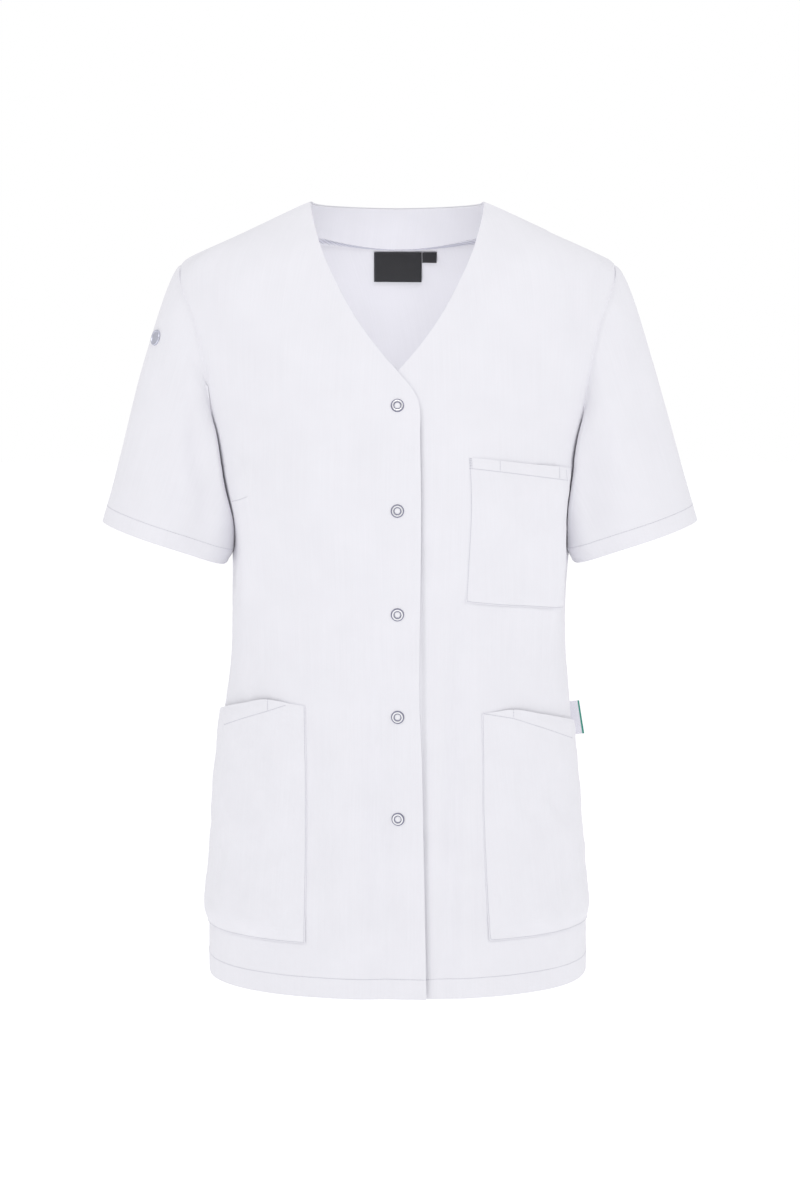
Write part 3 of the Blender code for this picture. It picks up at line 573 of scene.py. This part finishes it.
def bake(made):
    """Applies every modifier of an object."""
    graph = bpy.context.evaluated_depsgraph_get()
    mesh = bpy.data.meshes.new_from_object(made.evaluated_get(graph))
    made.modifiers.clear()
    old, made.data = made.data, mesh
    mesh.name = made.name
    bpy.data.meshes.remove(old)


def smoothed(key, node, tube=False):
    """A piece's outer face, unwrapped and subdivided, with its points and normals."""
    bm = outer_face(node)
    if node == "back":
        calm_corners(bm)
    grown = make_up_for_smoothing(bm)
    made = unwrapped(key, bm, tube)
    width, length, area = pattern_of[key] = true_to_size(made)
    smooth = made.modifiers.new("smooth", "SUBSURF")
    smooth.levels = smooth.render_levels = LEVELS
    smooth.boundary_smooth = "PRESERVE_CORNERS"
    bake(made)
    print(f"{key}: {len(made.data.polygons)} faces, grown {grown / MM:.2f} mm, "
          f"cut {width:.3f} x {length:.3f} m, {area:.4f} m2")
    points, normals = np.empty((2, 3 * len(made.data.vertices)))
    made.data.vertices.foreach_get("co", points)
    made.data.vertices.foreach_get("normal", normals)
    return made, points.reshape(-1, 3), normals.reshape(-1, 3)


def put_back(key, made, points):
    """Gives a piece its moved points, and keeps its outer face."""
    made.data.vertices.foreach_set("co", points.ravel())
    made.data.update()
    bm = editable(made.data)
    faces_of[key] = Face(BVHTree.FromBMesh(bm), open_rims(bm))
    bm.free()


def finish_with(made, finish):
    made.data.shade_smooth()
    made.data.set_sharp_from_angle(angle=math.radians(50))
    made.data.materials.clear()
    made.data.materials.append(finish)


def shell(made, double_at, name):
    """Gives a piece its thickness, thick where double_at is 1."""
    group = made.vertex_groups.new(name="thick")
    least = SINGLE / DOUBLE
    for index, share in enumerate(double_at):
        group.add([index], least + (1 - least) * float(share), "REPLACE")
    wall = made.modifiers.new("wall", "SOLIDIFY")
    wall.thickness = DOUBLE
    wall.offset = -1
    wall.vertex_group = "thick"
    bake(made)
    finish_with(made, white_twill)
    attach(made, "root")
    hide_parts(name)


# %% Shape the cloth between its creases
ARM_TOP = -0.15           # the arms lie beside the body below this height
WAIST = -0.38
LUMPS = ((0.50 * MM, 0.055, 3.0), (0.20 * MM, 0.018, 8.0), (0.11 * MM, 0.0065, 12.0))
FLANK_FULL = 4.5 * MM
FLANK_FROM = 0.125        # how far from the middle the flank begins


def eased(values):
    values = np.clip(values, 0, 1)
    return values * values * (3 - 2 * values)


def folded_in(apart, deep):
    """1 where the cloth is turned in along an edge, 0 further in."""
    return 1 - eased((apart - deep) / (3 * MM))


def uneven(points, size, seed):
    """Soft noise from -1 to 1 with lumps of about the given size in metres."""
    shift = Vector((seed, 0.37 * seed, -1.7 * seed))
    return np.array([noise.noise(Vector(p) / size + shift) for p in points])


def soft_lumps(points):
    """Unevenness that worn cloth has between its creases, a little more of it low down."""
    low = 0.7 + 1.3 * eased((-0.30 - points[:, 2]) / 0.20)
    return low * sum(height * uneven(points, size, seed) for height, size, seed in LUMPS)


def beside_arm(points):
    return eased((ARM_TOP - points[:, 2]) / 0.06)


def flank(points, normals):
    """Fullness beside the arms, where the cloth turns from the front or the back to the side."""
    turning = 2 * np.abs(normals[:, 0] * normals[:, 1])
    level = beside_arm(points) * eased((points[:, 2] - WAIST) / 0.07)
    return FLANK_FULL * turning ** 2 * level * eased((np.abs(points[:, 0]) - FLANK_FROM) / 0.02)


# %% [markdown]
# ## Fronts and back
# The two fronts lap over each other at the centre, and meet the back at the shoulders and sides.
# The hem is turned up by 19 mm and stitched, so the cloth is double there and stands out a touch.
# The top front's edge stands up from the one below it, most of all at the hem. The cloth is fuller
# at the flanks, where it comes out from under the arms.
# %% Sew the body
HEM_DEEP = 19.0 * MM
FACING_WIDE = 38.0 * MM
FRONT_EDGE = ((26 * MM, -693 * MM), (19 * MM, -151 * MM))   # X and Z of its lower and upper end
EDGE_STANDS, MORE_AT_HEM = 0.3, 1.2     # mm
GIVES_WAY = 1.2 * MM                    # depth of the cloth below the edge


def closure(points, node):
    """How far the cloth of a front rises or gives way along the top front's edge."""
    (low_x, low_z), (top_x, top_z) = FRONT_EDGE
    apart = np.abs(points[:, 0] - np.interp(points[:, 2], (low_z, top_z), (low_x, top_x)))
    down = top_z - points[:, 2]
    below = eased(down / (30 * MM))
    if node == "front_left":
        return -GIVES_WAY * below * bell(apart, 2.0 * MM)
    stands = EDGE_STANDS + MORE_AT_HEM * np.clip(down / (top_z - low_z), 0, 1)
    return stands * MM * below * bell(apart, 6 * MM)


def body_panel(key, node):
    made, points, normals = smoothed(key, node)
    hem = points[points[:, 2] < points[:, 2].min() + 4 * MM]
    off_hem = from_line(points, hem)
    double = folded_in(off_hem, HEM_DEEP)
    rise = creased(points, normals)
    rise += 0.20 * MM * double - groove(points, node) + soft_lumps(points)
    drawn = uneven(points * (1, 1, 0.25), 0.008, 7.0)     # by the hem's stitches
    rise += 0.10 * MM * drawn * bell(off_hem - HEM_DEEP, 6 * MM)
    rise += flank(points, normals)
    if node != "back":
        rise += closure(points, node)
    points += rise[:, None] * normals
    if node != "back":
        meet(points, made.data, ("cloth_back",), 2 * SEWN_WITHIN)
    put_back(key, made, points)
    if node == "front_right":
        double = np.maximum(double, eased((points[:, 0] + FACING_WIDE) / (4 * MM)))
    shell(made, double, node)


for node in ("back", "front_left", "front_right"):
    body_panel("cloth_" + node, node)

# %% [markdown]
# ## Sleeves
# A short sleeve is one piece of cloth closed under the arm. Its opening is turned in and stitched
# like the hem. A filled sleeve hangs flat against the body, so its cloth is fuller on that side:
# it fills the corners there and comes as close as a millimetre to the body.
# %% Sew the sleeves
CUFF_DEEP = 15.5 * MM
CORNER_FULL = 6.5 * MM
WALL_FULL = (3.0 * MM, 8.0 * MM)     # at the cuff, and a little above it
BESIDE_BODY = 1.0 * MM               # what stays free
LOOK_FOR_BODY = 30 * MM
SLANTED = 1.6                        # the way along a normal is this much longer, at most
BODY = ("cloth_back", "cloth_front_left", "cloth_front_right")


def against_body(points, normals, node, off_cuff):
    """Fullness of a sleeve where it lies beside the body."""
    to_body = np.clip(-normals[:, 0] * np.sign(SLEEVE_MIDDLE[node]), 0, 1)
    corner = np.clip(2 * to_body * np.abs(normals[:, 1]), 0, 1) ** 1.5
    wall = WALL_FULL[0] + (WALL_FULL[1] - WALL_FULL[0]) * eased(off_cuff / CUFF_DEEP)
    rise = (CORNER_FULL * corner + wall * to_body ** 2) * beside_arm(points)
    for index in np.flatnonzero(rise > 0.05 * MM):
        place, way = Vector(points[index]), Vector(normals[index])
        for surface in (faces_of[key].surface for key in BODY):
            ahead = surface.ray_cast(place, way, LOOK_FOR_BODY)[3]
            if ahead is not None:
                rise[index] = min(rise[index], max(0.0, ahead - BESIDE_BODY))
            apart = surface.find_nearest(place)[3]
            rise[index] = min(rise[index], max(0.0, apart - BESIDE_BODY) * SLANTED)
    return rise


def sleeve(key, node):
    made, points, normals = smoothed(key, node, tube=True)
    off_cuff = from_line(points, lowest(rims_of(made.data)))
    double = folded_in(off_cuff, CUFF_DEEP)
    rise = creased(points, normals)
    rise += 0.20 * MM * double - groove(points, node) + soft_lumps(points)
    rise += against_body(points, normals, node, off_cuff)
    points += rise[:, None] * normals
    meet(points, made.data, BODY, 4 * SEWN_WITHIN)
    put_back(key, made, points)
    shell(made, double, node)


for node in ("sleeve_left", "sleeve_right"):
    sleeve("cloth_" + node, node)

# %% [markdown]
# ## Pockets
# A patch pocket is sewn on along its sides and bottom, with its allowance folded in, so its edges
# lie close to the front and it stands off in the middle. Its stitches pull small puckers in from
# the edges, and the cloth between them is a little uneven.
# %% Sew the pockets on
POCKET_DOWN = 1.0 * MM     # its edges lie this much closer to the front than in the plain form
ALLOWANCE = 8 * MM
POCKET_LUMPS = (           # height, size, seed, and how far from the edge they are full
    (0.75 * MM, 0.026, 6.0, 10 * MM),
    (0.45 * MM, 0.011, 2.0, 4 * MM),
)
PUCKER = 0.60 * MM
EDGE_DOWN, BOTTOM_UP, CHEST_INNER_DOWN = 0.45 * MM, 0.7 * MM, 0.65 * MM
BOTTOM_SLANT = {"pocket_left": 22, "pocket_right": 20, "chest_pocket": 14}   # mm


def patch_pocket(key, node):
    made, points, normals = smoothed(key, node)
    rim = rims_of(made.data)[0]
    off_edge = from_line(points, rim)
    rise = creased(points, normals) + flank(points, normals) - POCKET_DOWN
    rise += soft_lumps(points)
    for height, size, seed, full_at in POCKET_LUMPS:
        rise += height * uneven(points, size, seed) * eased(off_edge / full_at)
    pulled = uneven(points * (0.3, 0.3, 1.0), 0.008, 5.0) * np.exp(-off_edge / (9 * MM))
    rise += PUCKER * pulled * eased(off_edge / (3 * MM))
    rise -= EDGE_DOWN * bell(off_edge, 4 * MM)
    lowest_at = min(p.z for p in rim)
    bottom = [p for p in rim if p.z < lowest_at + BOTTOM_SLANT[node] * MM]
    rise += BOTTOM_UP * bell(from_line(points, bottom), 5 * MM)
    if node == "chest_pocket":
        rise -= CHEST_INNER_DOWN * bell(points[:, 0] - points[:, 0].min(), 9 * MM)
    points += rise[:, None] * normals
    put_back(key, made, points)
    shell(made, 0.5 * folded_in(off_edge, ALLOWANCE), node)


for node in ("pocket_left", "pocket_right", "chest_pocket"):
    patch_pocket("cloth_" + node, node)

# %% [markdown]
# ## The neck facing
# Inside the back neckline a strip of the same cloth covers the raw edge. Each of its points is
# measured against the back and held just inside it.
# %% Sew the facing in
FACING_OUT = 0.85 * MM     # the shell of the back is thinner than in the plain form
FACING_CLEAR = 0.15 * MM   # it stays this far inside the back's inner side
FACING = "cloth_neck_facing"

made, points, normals = smoothed(FACING, "back_neck_facing")
rise = FACING_OUT + creased(points, normals) + soft_lumps(points)
points += rise[:, None] * normals
under = faces_of["cloth_back"].surface
for index, place in enumerate(points):
    near, way = under.find_nearest(Vector(place))[:2]
    inside = (near - Vector(place)).dot(way)
    points[index] -= max(0.0, SINGLE + FACING_CLEAR - inside) * np.array(way)
put_back(FACING, made, points)
shell(made, np.zeros(len(points)), "back_neck_facing")

# %% [markdown]
# ## Where things lie on the cloth
# Stitches, tapes and snaps lie on cloth that is already creased, so each of them needs points on
# it. A seam runs along a part of the piece's rim, or at a fixed distance inside it. A line that
# the picture shows inside a piece is named by its ends in the picture, and rays from the camera
# find where it crosses the cloth.
# %% Follow a rim
def part_of_rim(rim, start, via, end):
    """The stretch of a closed rim from start to end that passes via."""
    points = rim[:-1]
    count = len(points)
    first, middle, last = (
        min(range(count), key=lambda i: (points[i] - Vector(place) * MM).length)
        for place in (start, via, end)
    )
    onward = [(first + i) % count for i in range((last - first) % count + 1)]
    if middle not in onward:
        onward = [(first - i) % count for i in range((first - last) % count + 1)]
    return [points[i] for i in onward]


def on_cloth(key, place):
    """The nearest point of a piece's outer face, the way that it looks, and how far off it is."""
    point, normal, _, apart = faces_of[key].surface.find_nearest(place)
    return point, normal, apart


def set_in(key, points, distance):
    """A line moved from a piece's rim into the piece."""
    moved = []
    last = len(points) - 1
    middle = last // 2
    way = 1
    for trial in (1, -1):   # the side that has cloth
        along = (points[middle + 1] - points[middle - 1]).normalized()
        normal = on_cloth(key, points[middle])[1]
        if on_cloth(key, points[middle] + trial * 4 * MM * normal.cross(along))[2] < 2 * MM:
            way = trial
    for i, point in enumerate(points):
        along = (points[min(i + 1, last)] - points[max(i - 1, 0)]).normalized()
        normal = on_cloth(key, point)[1]
        moved.append(on_cloth(key, point + way * distance * normal.cross(along))[0])
    return moved


# %% Follow a line of the picture
PIXELS_PER_SLOPE = 2795.0   # of the 800 x 1200 picture, from the lens
PICTURE_MIDDLE = (400, 600)
LOOK = Vector((0, math.cos(TIPPED_DOWN), -math.sin(TIPPED_DOWN)))
RIGHT = Vector((1, 0, 0))
UP = Vector((0, math.sin(TIPPED_DOWN), math.cos(TIPPED_DOWN)))


def seen_at(key, across, down):
    """The point of a piece that shows at a place in the picture."""
    aside = (across - PICTURE_MIDDLE[0]) * RIGHT + (PICTURE_MIDDLE[1] - down) * UP
    return faces_of[key].surface.ray_cast(EYE, (LOOK + aside / PIXELS_PER_SLOPE).normalized())[0]


def picture_line(key, *ends, steps=24):
    """A line over a piece through places in the picture."""
    found = []
    for (x0, y0), (x1, y1) in zip(ends[:-1], ends[1:]):
        for i in range(steps + 1):
            t = i / steps
            hit = seen_at(key, x0 + t * (x1 - x0), y0 + t * (y1 - y0))
            if hit is not None and (not found or (hit - found[-1]).length > 0.05 * MM):
                found.append(hit)
    return found


# %% [markdown]
# ## Stitches
# A lockstitch shows as a row of short threads with a needle hole between each two. Each thread is
# a small ellipsoid that is a little sunk at its ends. Each needle hole is a flat dark disc, painted
# shade of the hole. The white thread is coloured grey, which is painted shade of the groove it lies
# in. All the stitches on one piece of cloth are gathered into one piece.
# %% Thread finish
def thread_finish(name, colour):
    add, shaded, finished = new_finish(name)
    place = add("ShaderNodeTexCoord", out="Object")
    strands = add("ShaderNodeTexNoise", {"Vector": place, "Scale": 2600.0, "Detail": 1.0}, "Fac")
    bump = add("ShaderNodeBump", {"Height": strands, "Strength": 0.3, "Distance": 0.05 * MM})
    return finished({"Base Color": shaded(colour, strands, 0.86, 1.08), "Normal": bump,
                     "Roughness": 0.6})


# The thread is white; its grey colour is painted shade of the groove that the stitches sink into.
white_thread_painted_shade = thread_finish("white_thread_painted_shade", (0.66, 0.66, 0.72))
grey_thread = thread_finish("grey_thread", (0.62, 0.62, 0.72))
painted_shade_finish = thread_finish("painted_shade_finish", (0.34, 0.34, 0.40))
snap_cloth = thread_finish("cloth_in_the_snap", (0.80, 0.80, 0.84))

# %% Lay stitches along a line
THREAD = 0.26 * MM      # half the width of a thread
# Each needle hole is drawn as a flat dark disc: painted shade of the hole.
HOLE = 0.30 * MM        # radius of a needle hole
Seam = namedtuple("Seam", "key line pitch")


def lying(point, along, normal):
    """Axes of something that lies on the cloth: along it, across it and away from it."""
    along = (along - along.dot(normal) * normal).normalized()
    across = normal.cross(along)
    return Matrix.Translation(point) @ Matrix((along, across, normal)).transposed().to_4x4()


def add_thread(bm, point, along, normal, size):
    """A long ellipsoid that lies on the cloth."""
    bmesh.ops.create_uvsphere(bm, u_segments=6, v_segments=4, radius=1,
                              matrix=lying(point, along, normal) @ Matrix.Diagonal((*size, 1)))


def small_meshes(steps, lay, at_a_time=20):
    """Meshes of a few steps each, because a large mesh is slow to add to."""
    meshes = []
    for start in range(0, len(steps), at_a_time):
        bm = bmesh.new()
        lay(bm, steps[start:start + at_a_time])
        meshes.append(mesh_from(bm, "threads"))
    return meshes


def stitched(seam):
    """One seam's threads, with a needle hole after each, drawn as a dark disc of painted shade."""
    def lay(bm, steps):
        for first, second in steps:
            point, normal, _ = on_cloth(seam.key, (first + second) / 2)
            add_thread(bm, point + 0.3 * THREAD * normal, second - first, normal,
                       (0.42 * seam.pitch, THREAD, 0.7 * THREAD))
        threads = len(bm.faces)
        # a flat dark disc at each needle hole: painted shade
        for first, second in steps:
            point, normal, _ = on_cloth(seam.key, first)
            above = point + 0.06 * MM * normal
            bmesh.ops.create_circle(bm, cap_ends=True, segments=6, radius=HOLE,
                                    matrix=lying(above, second - first, normal))
        bm.faces.ensure_lookup_table()
        for face in bm.faces[threads:]:
            face.material_index = 1

    line = stepped(seam.line, seam.pitch)
    return small_meshes(list(zip(line[:-1], line[1:])), lay)


def piece(name, bm, *finishes):
    """A smooth object of a finished mesh."""
    mesh = mesh_from(bm, name)
    for finish in finishes:
        mesh.materials.append(finish)
    mesh.shade_smooth()
    return placed(name, mesh)


def piece_from(name, meshes, *finishes):
    """One piece of several meshes, riding on the body."""
    bm = bmesh.new()
    for mesh in meshes:
        bm.from_mesh(mesh)
        bpy.data.meshes.remove(mesh)
    made = piece(name, bm, *finishes)
    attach(made, "root")
    return made


def sew(name, seams):
    meshes = [mesh for seam in seams for mesh in stitched(seam)]
    made = piece_from(name, meshes, white_thread_painted_shade, painted_shade_finish)
    print(f"{name}: {len(made.data.polygons)} faces")


# %% [markdown]
# ## Hem, cuffs and darts
# The hem and the cuffs are held by one row each. Two short darts shape the bust: they run in from
# the side seams under the arms. One shows its stitches, the other is a fold at the chest pocket.
# %% Stitch the body
PITCH, BAND_PITCH = 2.6 * MM, 2.2 * MM
BODY_HEM = {   # start, middle and end of each piece's hem, in millimetres
    "cloth_front_right": ((26, -126, -693), (-90, -95, -693), (-177, 15, -691)),
    "cloth_front_left": ((-19, -125, -693), (90, -95, -693), (177, 15, -691)),
    "cloth_back": ((177, 16, -691), (0, 87, -693), (-177, 16, -691)),
}
hem_seams = {}
for key, ends in BODY_HEM.items():
    hem = part_of_rim(faces_of[key].rims[0], *ends)
    hem_seams[key] = Seam(key, set_in(key, stepped(hem, 6 * MM), HEM_DEEP - 0.5 * MM), PITCH)
DART_LEFT_IN_PICTURE = ((231.8, 501.6), (240.5, 499.4), (247.7, 496.4))
dart = Seam("cloth_front_right", picture_line("cloth_front_right", *DART_LEFT_IN_PICTURE), PITCH)
sew("stitches_front_right", [hem_seams["cloth_front_right"], dart])
sew("stitches_front_left", [hem_seams["cloth_front_left"]])
sew("stitches_back", [hem_seams["cloth_back"]])

# %% Stitch the cuffs
for key in ("cloth_sleeve_left", "cloth_sleeve_right"):
    line = set_in(key, stepped(lowest(faces_of[key].rims), 5 * MM), CUFF_DEEP)
    sew(key.replace("cloth", "stitches"), [Seam(key, line, PITCH)])

# %% [markdown]
# ## Pocket stitches
# Each pocket is sewn on close to its edge. Its top is turned in and held by a second row, which
# tapers to the edge at the inner corner of the side pockets, and short cross rows make a narrow
# loop of the band for a pen.
# %% Stitch the pockets
EDGE_ROW = 0.9 * MM
POCKET_CORNERS = {   # top outer, bottom, top inner, in millimetres
    "cloth_pocket_left": ((164, 13, -461), (130, -90, -641), (76, -112, -434)),
    "cloth_pocket_right": ((-163, 13, -449), (-130, -90, -643), (-84, -110, -427)),
    "cloth_chest_pocket": ((159, -54, -216), (110, -90, -338), (63, -122, -201)),
}
BANDS_IN_PICTURE = {   # the band's row, and then its cross rows
    "cloth_pocket_left": (
        ((481.6, 713.4), (513.6, 718.5), (548.4, 729.5), (572.6, 738.0)),
        ((513.6, 709.0), (513.6, 718.2)),
    ),
    "cloth_pocket_right": (
        ((285.0, 705.4), (267.9, 711.0), (245.0, 717.6), (224.0, 724.6)),
        ((267.6, 699.2), (267.6, 710.8)),
    ),
    "cloth_chest_pocket": (
        ((468.5, 468.2), (500.0, 471.8), (568.4, 480.4)),
        ((500.2, 461.6), (500.2, 471.6)),
        ((559.6, 467.8), (559.6, 478.8)),
        ((470.4, 458.4), (470.9, 467.6)),
        ((471.6, 458.6), (472.1, 467.8)),
        ((566.4, 470.2), (567.0, 479.6)),
    ),
}
for key, corners in POCKET_CORNERS.items():
    edge = stepped(part_of_rim(faces_of[key].rims[0], *corners), 4 * MM)
    seams = [Seam(key, set_in(key, edge, EDGE_ROW), PITCH)]
    seams += [Seam(key, picture_line(key, *ends), BAND_PITCH) for ends in BANDS_IN_PICTURE[key]]
    sew(key.replace("cloth", "stitches"), seams)

# %% [markdown]
# ## The overlocked edge of the facing
# The lower edge of the neck facing isn't turned in. A grey thread runs over it in a zigzag, wide
# at the sides and close at the middle, and ties the strip to the back. Some of its turns are dark:
# they get the dark finish of painted shade.
# %% Overlock the facing
OVERLOCK_PITCH = 2.9 * MM
# One turn in this many gets the dark finish: painted shade.
PAINTED_SHADE_EVERY = 4                       # turns of the thread
THREAD_WIDE, THREAD_HIGH = 0.24 * MM, 0.18 * MM
FACING_LOWER = ((98, 0, 17), (0, 75, -17), (-98, 0, 17))   # start, middle and end, mm


def zigzag(key, lower, upper):
    """Threads that run to and fro between two lines."""
    def lay(bm, runs):
        for number, (a, b) in enumerate(runs):
            point, normal, _ = on_cloth(key, (a + b) / 2)
            base = point - (SINGLE + 0.10 * MM) * normal
            before = len(bm.faces)
            add_thread(bm, base, b - a, -normal, ((a - b).length / 2, THREAD_WIDE, THREAD_HIGH))
            bm.faces.ensure_lookup_table()
            for face in bm.faces[before:]:
                # these turns take the dark finish, painted shade
                face.material_index = int(number % PAINTED_SHADE_EVERY == 0)

    low, high = stepped(lower, OVERLOCK_PITCH), stepped(upper, OVERLOCK_PITCH)
    return small_meshes([run for i in range(min(len(low), len(high)) - 1)
                         for run in ((low[i], high[i]), (high[i], low[i + 1]))], lay)


lower_edge = stepped(part_of_rim(faces_of[FACING].rims[0], *FACING_LOWER), 3 * MM)
low_row, inner_row, outer_row = (set_in(FACING, lower_edge, inside * MM)
                                 for inside in (0.3, 1.2, 8.5))
width_shares = [min(abs(point.x) / 0.075, 1.0) ** 2 for point in lower_edge]
high_row = [a.lerp(b, share) for a, b, share in zip(inner_row, outer_row, width_shares)]
overlock = piece_from("overlock_neck_facing", zigzag(FACING, low_row, high_row),
                      grey_thread, painted_shade_finish)

# %% [markdown]
# ## Labels
# A black woven tape and a small tab hang from the facing, and a white tape with a green edge
# stands out of the left side seam. Tape is woven so tightly that it shows fine level ribs.
# %% Weave the tapes
TAPE_RIBS = 1300        # a metre
TAPE_THICK = 0.55 * MM


def tape(name, colour, edge_colour, edge_from, edge_to):
    """Ribbed tape whose colour changes across its flat width."""
    add, shaded, finished = new_finish(name)
    flat = add("ShaderNodeUVMap", uv_map="flat")
    across, down = (add("ShaderNodeSeparateXYZ", {0: flat}, axis) for axis in "XY")
    ribs = add("ShaderNodeMath", {0: down, 1: TAPE_RIBS * math.tau}, operation="MULTIPLY")
    ribs = add("ShaderNodeMath", {0: ribs}, operation="SINE")
    grain = add("ShaderNodeTexNoise", {"Vector": flat, "Scale": 900.0, "Detail": 2.0}, "Fac")
    edge = add("ShaderNodeMapRange", {"Value": across, "From Min": edge_from,
                                      "From Max": edge_to}, clamp=True)
    mixed = add("ShaderNodeMix", {"Factor": edge, 6: (*colour, 1), 7: (*edge_colour, 1)}, 2,
                data_type="RGBA")
    bump = add("ShaderNodeBump", {"Height": ribs, "Strength": 0.35, "Distance": 0.08 * MM})
    return finished({"Base Color": shaded(mixed, grain, 0.80, 1.15), "Normal": bump,
                     "Roughness": 0.55, "Specular IOR Level": 0.3})


black_tape = tape("black_woven_tape", (0.010, 0.010, 0.013), (0.022, 0.022, 0.026),
                  0.0205, 0.0212)
stripe_tape = tape("white_tape_green_edge", (0.74, 0.73, 0.80), (0.030, 0.250, 0.190),
                   0.0034, 0.0040)


def label(key, node, finish, set_back):
    made, points, normals = smoothed(key, node)
    points += (-set_back * MM + 0.10 * MM * uneven(points, 0.010, 4.0))[:, None] * normals
    put_back(key, made, points)
    wall = made.modifiers.new("wall", "SOLIDIFY")
    wall.thickness, wall.offset = TAPE_THICK, -1
    edge = made.modifiers.new("edge", "BEVEL")
    edge.width, edge.segments, edge.limit_method = 0.12 * MM, 2, "ANGLE"
    edge.angle_limit = math.radians(60)
    bake(made)
    finish_with(made, finish)
    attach(made, "root")
    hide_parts(node)


label("tape_neck_label", "neck_label", black_tape, 0.3)
label("tape_size_tab", "size_tab", black_tape, 0.3)
label("tape_side_label", "side_label", stripe_tape, 0.1)

# %% [markdown]
# ## Ring snaps
# A ring snap is a stamped steel ring that is pressed through the cloth, so the cloth shows inside
# it. Its flanks fall off steeply and are given a dark copy of the steel, painted shade, while its
# crown keeps bright steel: that gives the two thin dark circles round each snap. The ring is a
# profile that is spun about its axis.
# %% Metal finishes
def metal(name, colour, roughness):
    add, shaded, finished = new_finish(name)
    place = add("ShaderNodeTexCoord", out="Object")
    marks = add("ShaderNodeTexNoise", {"Vector": place, "Scale": 900.0, "Detail": 4.0}, "Fac")
    rough = add("ShaderNodeMapRange", {"Value": marks, "To Min": roughness - 0.06,
                                       "To Max": roughness + 0.08})
    bump = add("ShaderNodeBump", {"Height": marks, "Strength": 0.25, "Distance": 0.03 * MM})
    return finished({"Base Color": shaded(colour, marks, 0.88, 1.06), "Roughness": rough,
                     "Normal": bump, "Metallic": 1.0})


bright_steel = metal("bright_steel", (0.86, 0.86, 0.88), 0.28)
# Dark steel for the ring's flanks: painted shade where the steep sides would look dark.
painted_shade_steel = metal("painted_shade_steel", (0.25, 0.25, 0.33), 0.45)
satin_steel = metal("satin_steel", (0.60, 0.61, 0.70), 0.40)


def turned(profile, steps=32):
    """A profile of radius and height spun about its axis."""
    bm = bmesh.new()
    points = [bm.verts.new((radius * MM, 0, height * MM)) for radius, height in profile]
    for a, b in zip(points[:-1], points[1:]):
        bm.edges.new((a, b))
    bmesh.ops.spin(bm, geom=bm.verts[:] + bm.edges[:], cent=(0, 0, 0), axis=(0, 0, 1),
                   angle=math.tau, steps=steps, use_merge=True)
    bmesh.ops.remove_doubles(bm, verts=bm.verts, dist=0.002 * MM)
    bmesh.ops.recalc_face_normals(bm, faces=bm.faces)
    return bm


# %% Press the snaps in
RING = ((2.75, 0.05), (2.90, 0.42), (3.15, 0.70), (3.65, 0.92), (4.30, 1.04), (4.88, 0.98),
        (5.35, 0.80), (5.70, 0.50), (5.90, 0.18), (5.96, -0.06))
# Outside these radii the flanks get the dark steel: painted shade.
CROWN = (3.60, 4.80)       # radii between which the ring is bright
BUTTON_OF_CLOTH = ((0.0, 0.62), (1.0, 0.58), (1.9, 0.44), (2.5, 0.24), (2.87, 0.0))
SNAPS = 5


def set_on(key, node, bm):
    """Moves a turned piece onto the cloth below a ring of the plain form."""
    points = np.array([v.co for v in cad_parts[node].data.vertices])
    point, normal, _ = on_cloth(key, Vector((points.min(axis=0) + points.max(axis=0)) / 2))
    turn = normal.to_track_quat("Z", "Y").to_matrix().to_4x4()
    bmesh.ops.transform(bm, matrix=Matrix.Translation(point) @ turn, verts=bm.verts)


for number in range(1, SNAPS + 1):
    bm = turned(RING)
    for face in bm.faces:
        radius = face.calc_center_median().xy.length / MM
        # the flanks get painted shade, the crown plain bright steel
        face.material_index = int(radius < CROWN[0] or radius > CROWN[1])
    button = turned(BUTTON_OF_CLOTH)
    for face in button.faces:
        face.material_index = 2
    button_mesh = mesh_from(button, "button")
    bm.from_mesh(button_mesh)
    bpy.data.meshes.remove(button_mesh)
    set_on("cloth_front_right", f"snap_cap_{number}", bm)
    snap = piece(f"ring_snap_{number}", bm, bright_steel, painted_shade_steel, snap_cloth)
    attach(snap, "root")
    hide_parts(f"snap_cap_{number}")
    back_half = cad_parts[f"snap_back_{number}"]
    back_half.data.materials.clear()
    back_half.data.materials.append(satin_steel)

# %% [markdown]
# ## The stud on the sleeve
# A plain steel disc with a raised rim is riveted to the right sleeve.
# %% Turn the stud
STUD = ((0.0, 1.15), (2.2, 1.08), (4.0, 0.92), (5.3, 0.72), (5.7, 0.86), (6.1, 1.25), (6.6, 1.45),
        (7.1, 1.25), (7.38, 0.80), (7.40, 0.10), (7.30, -0.30))
bm = turned(STUD, 40)
set_on("cloth_sleeve_right", "sleeve_stud", bm)
stud = piece("steel_stud", bm, satin_steel)
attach(stud, "root")
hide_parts("sleeve_stud")
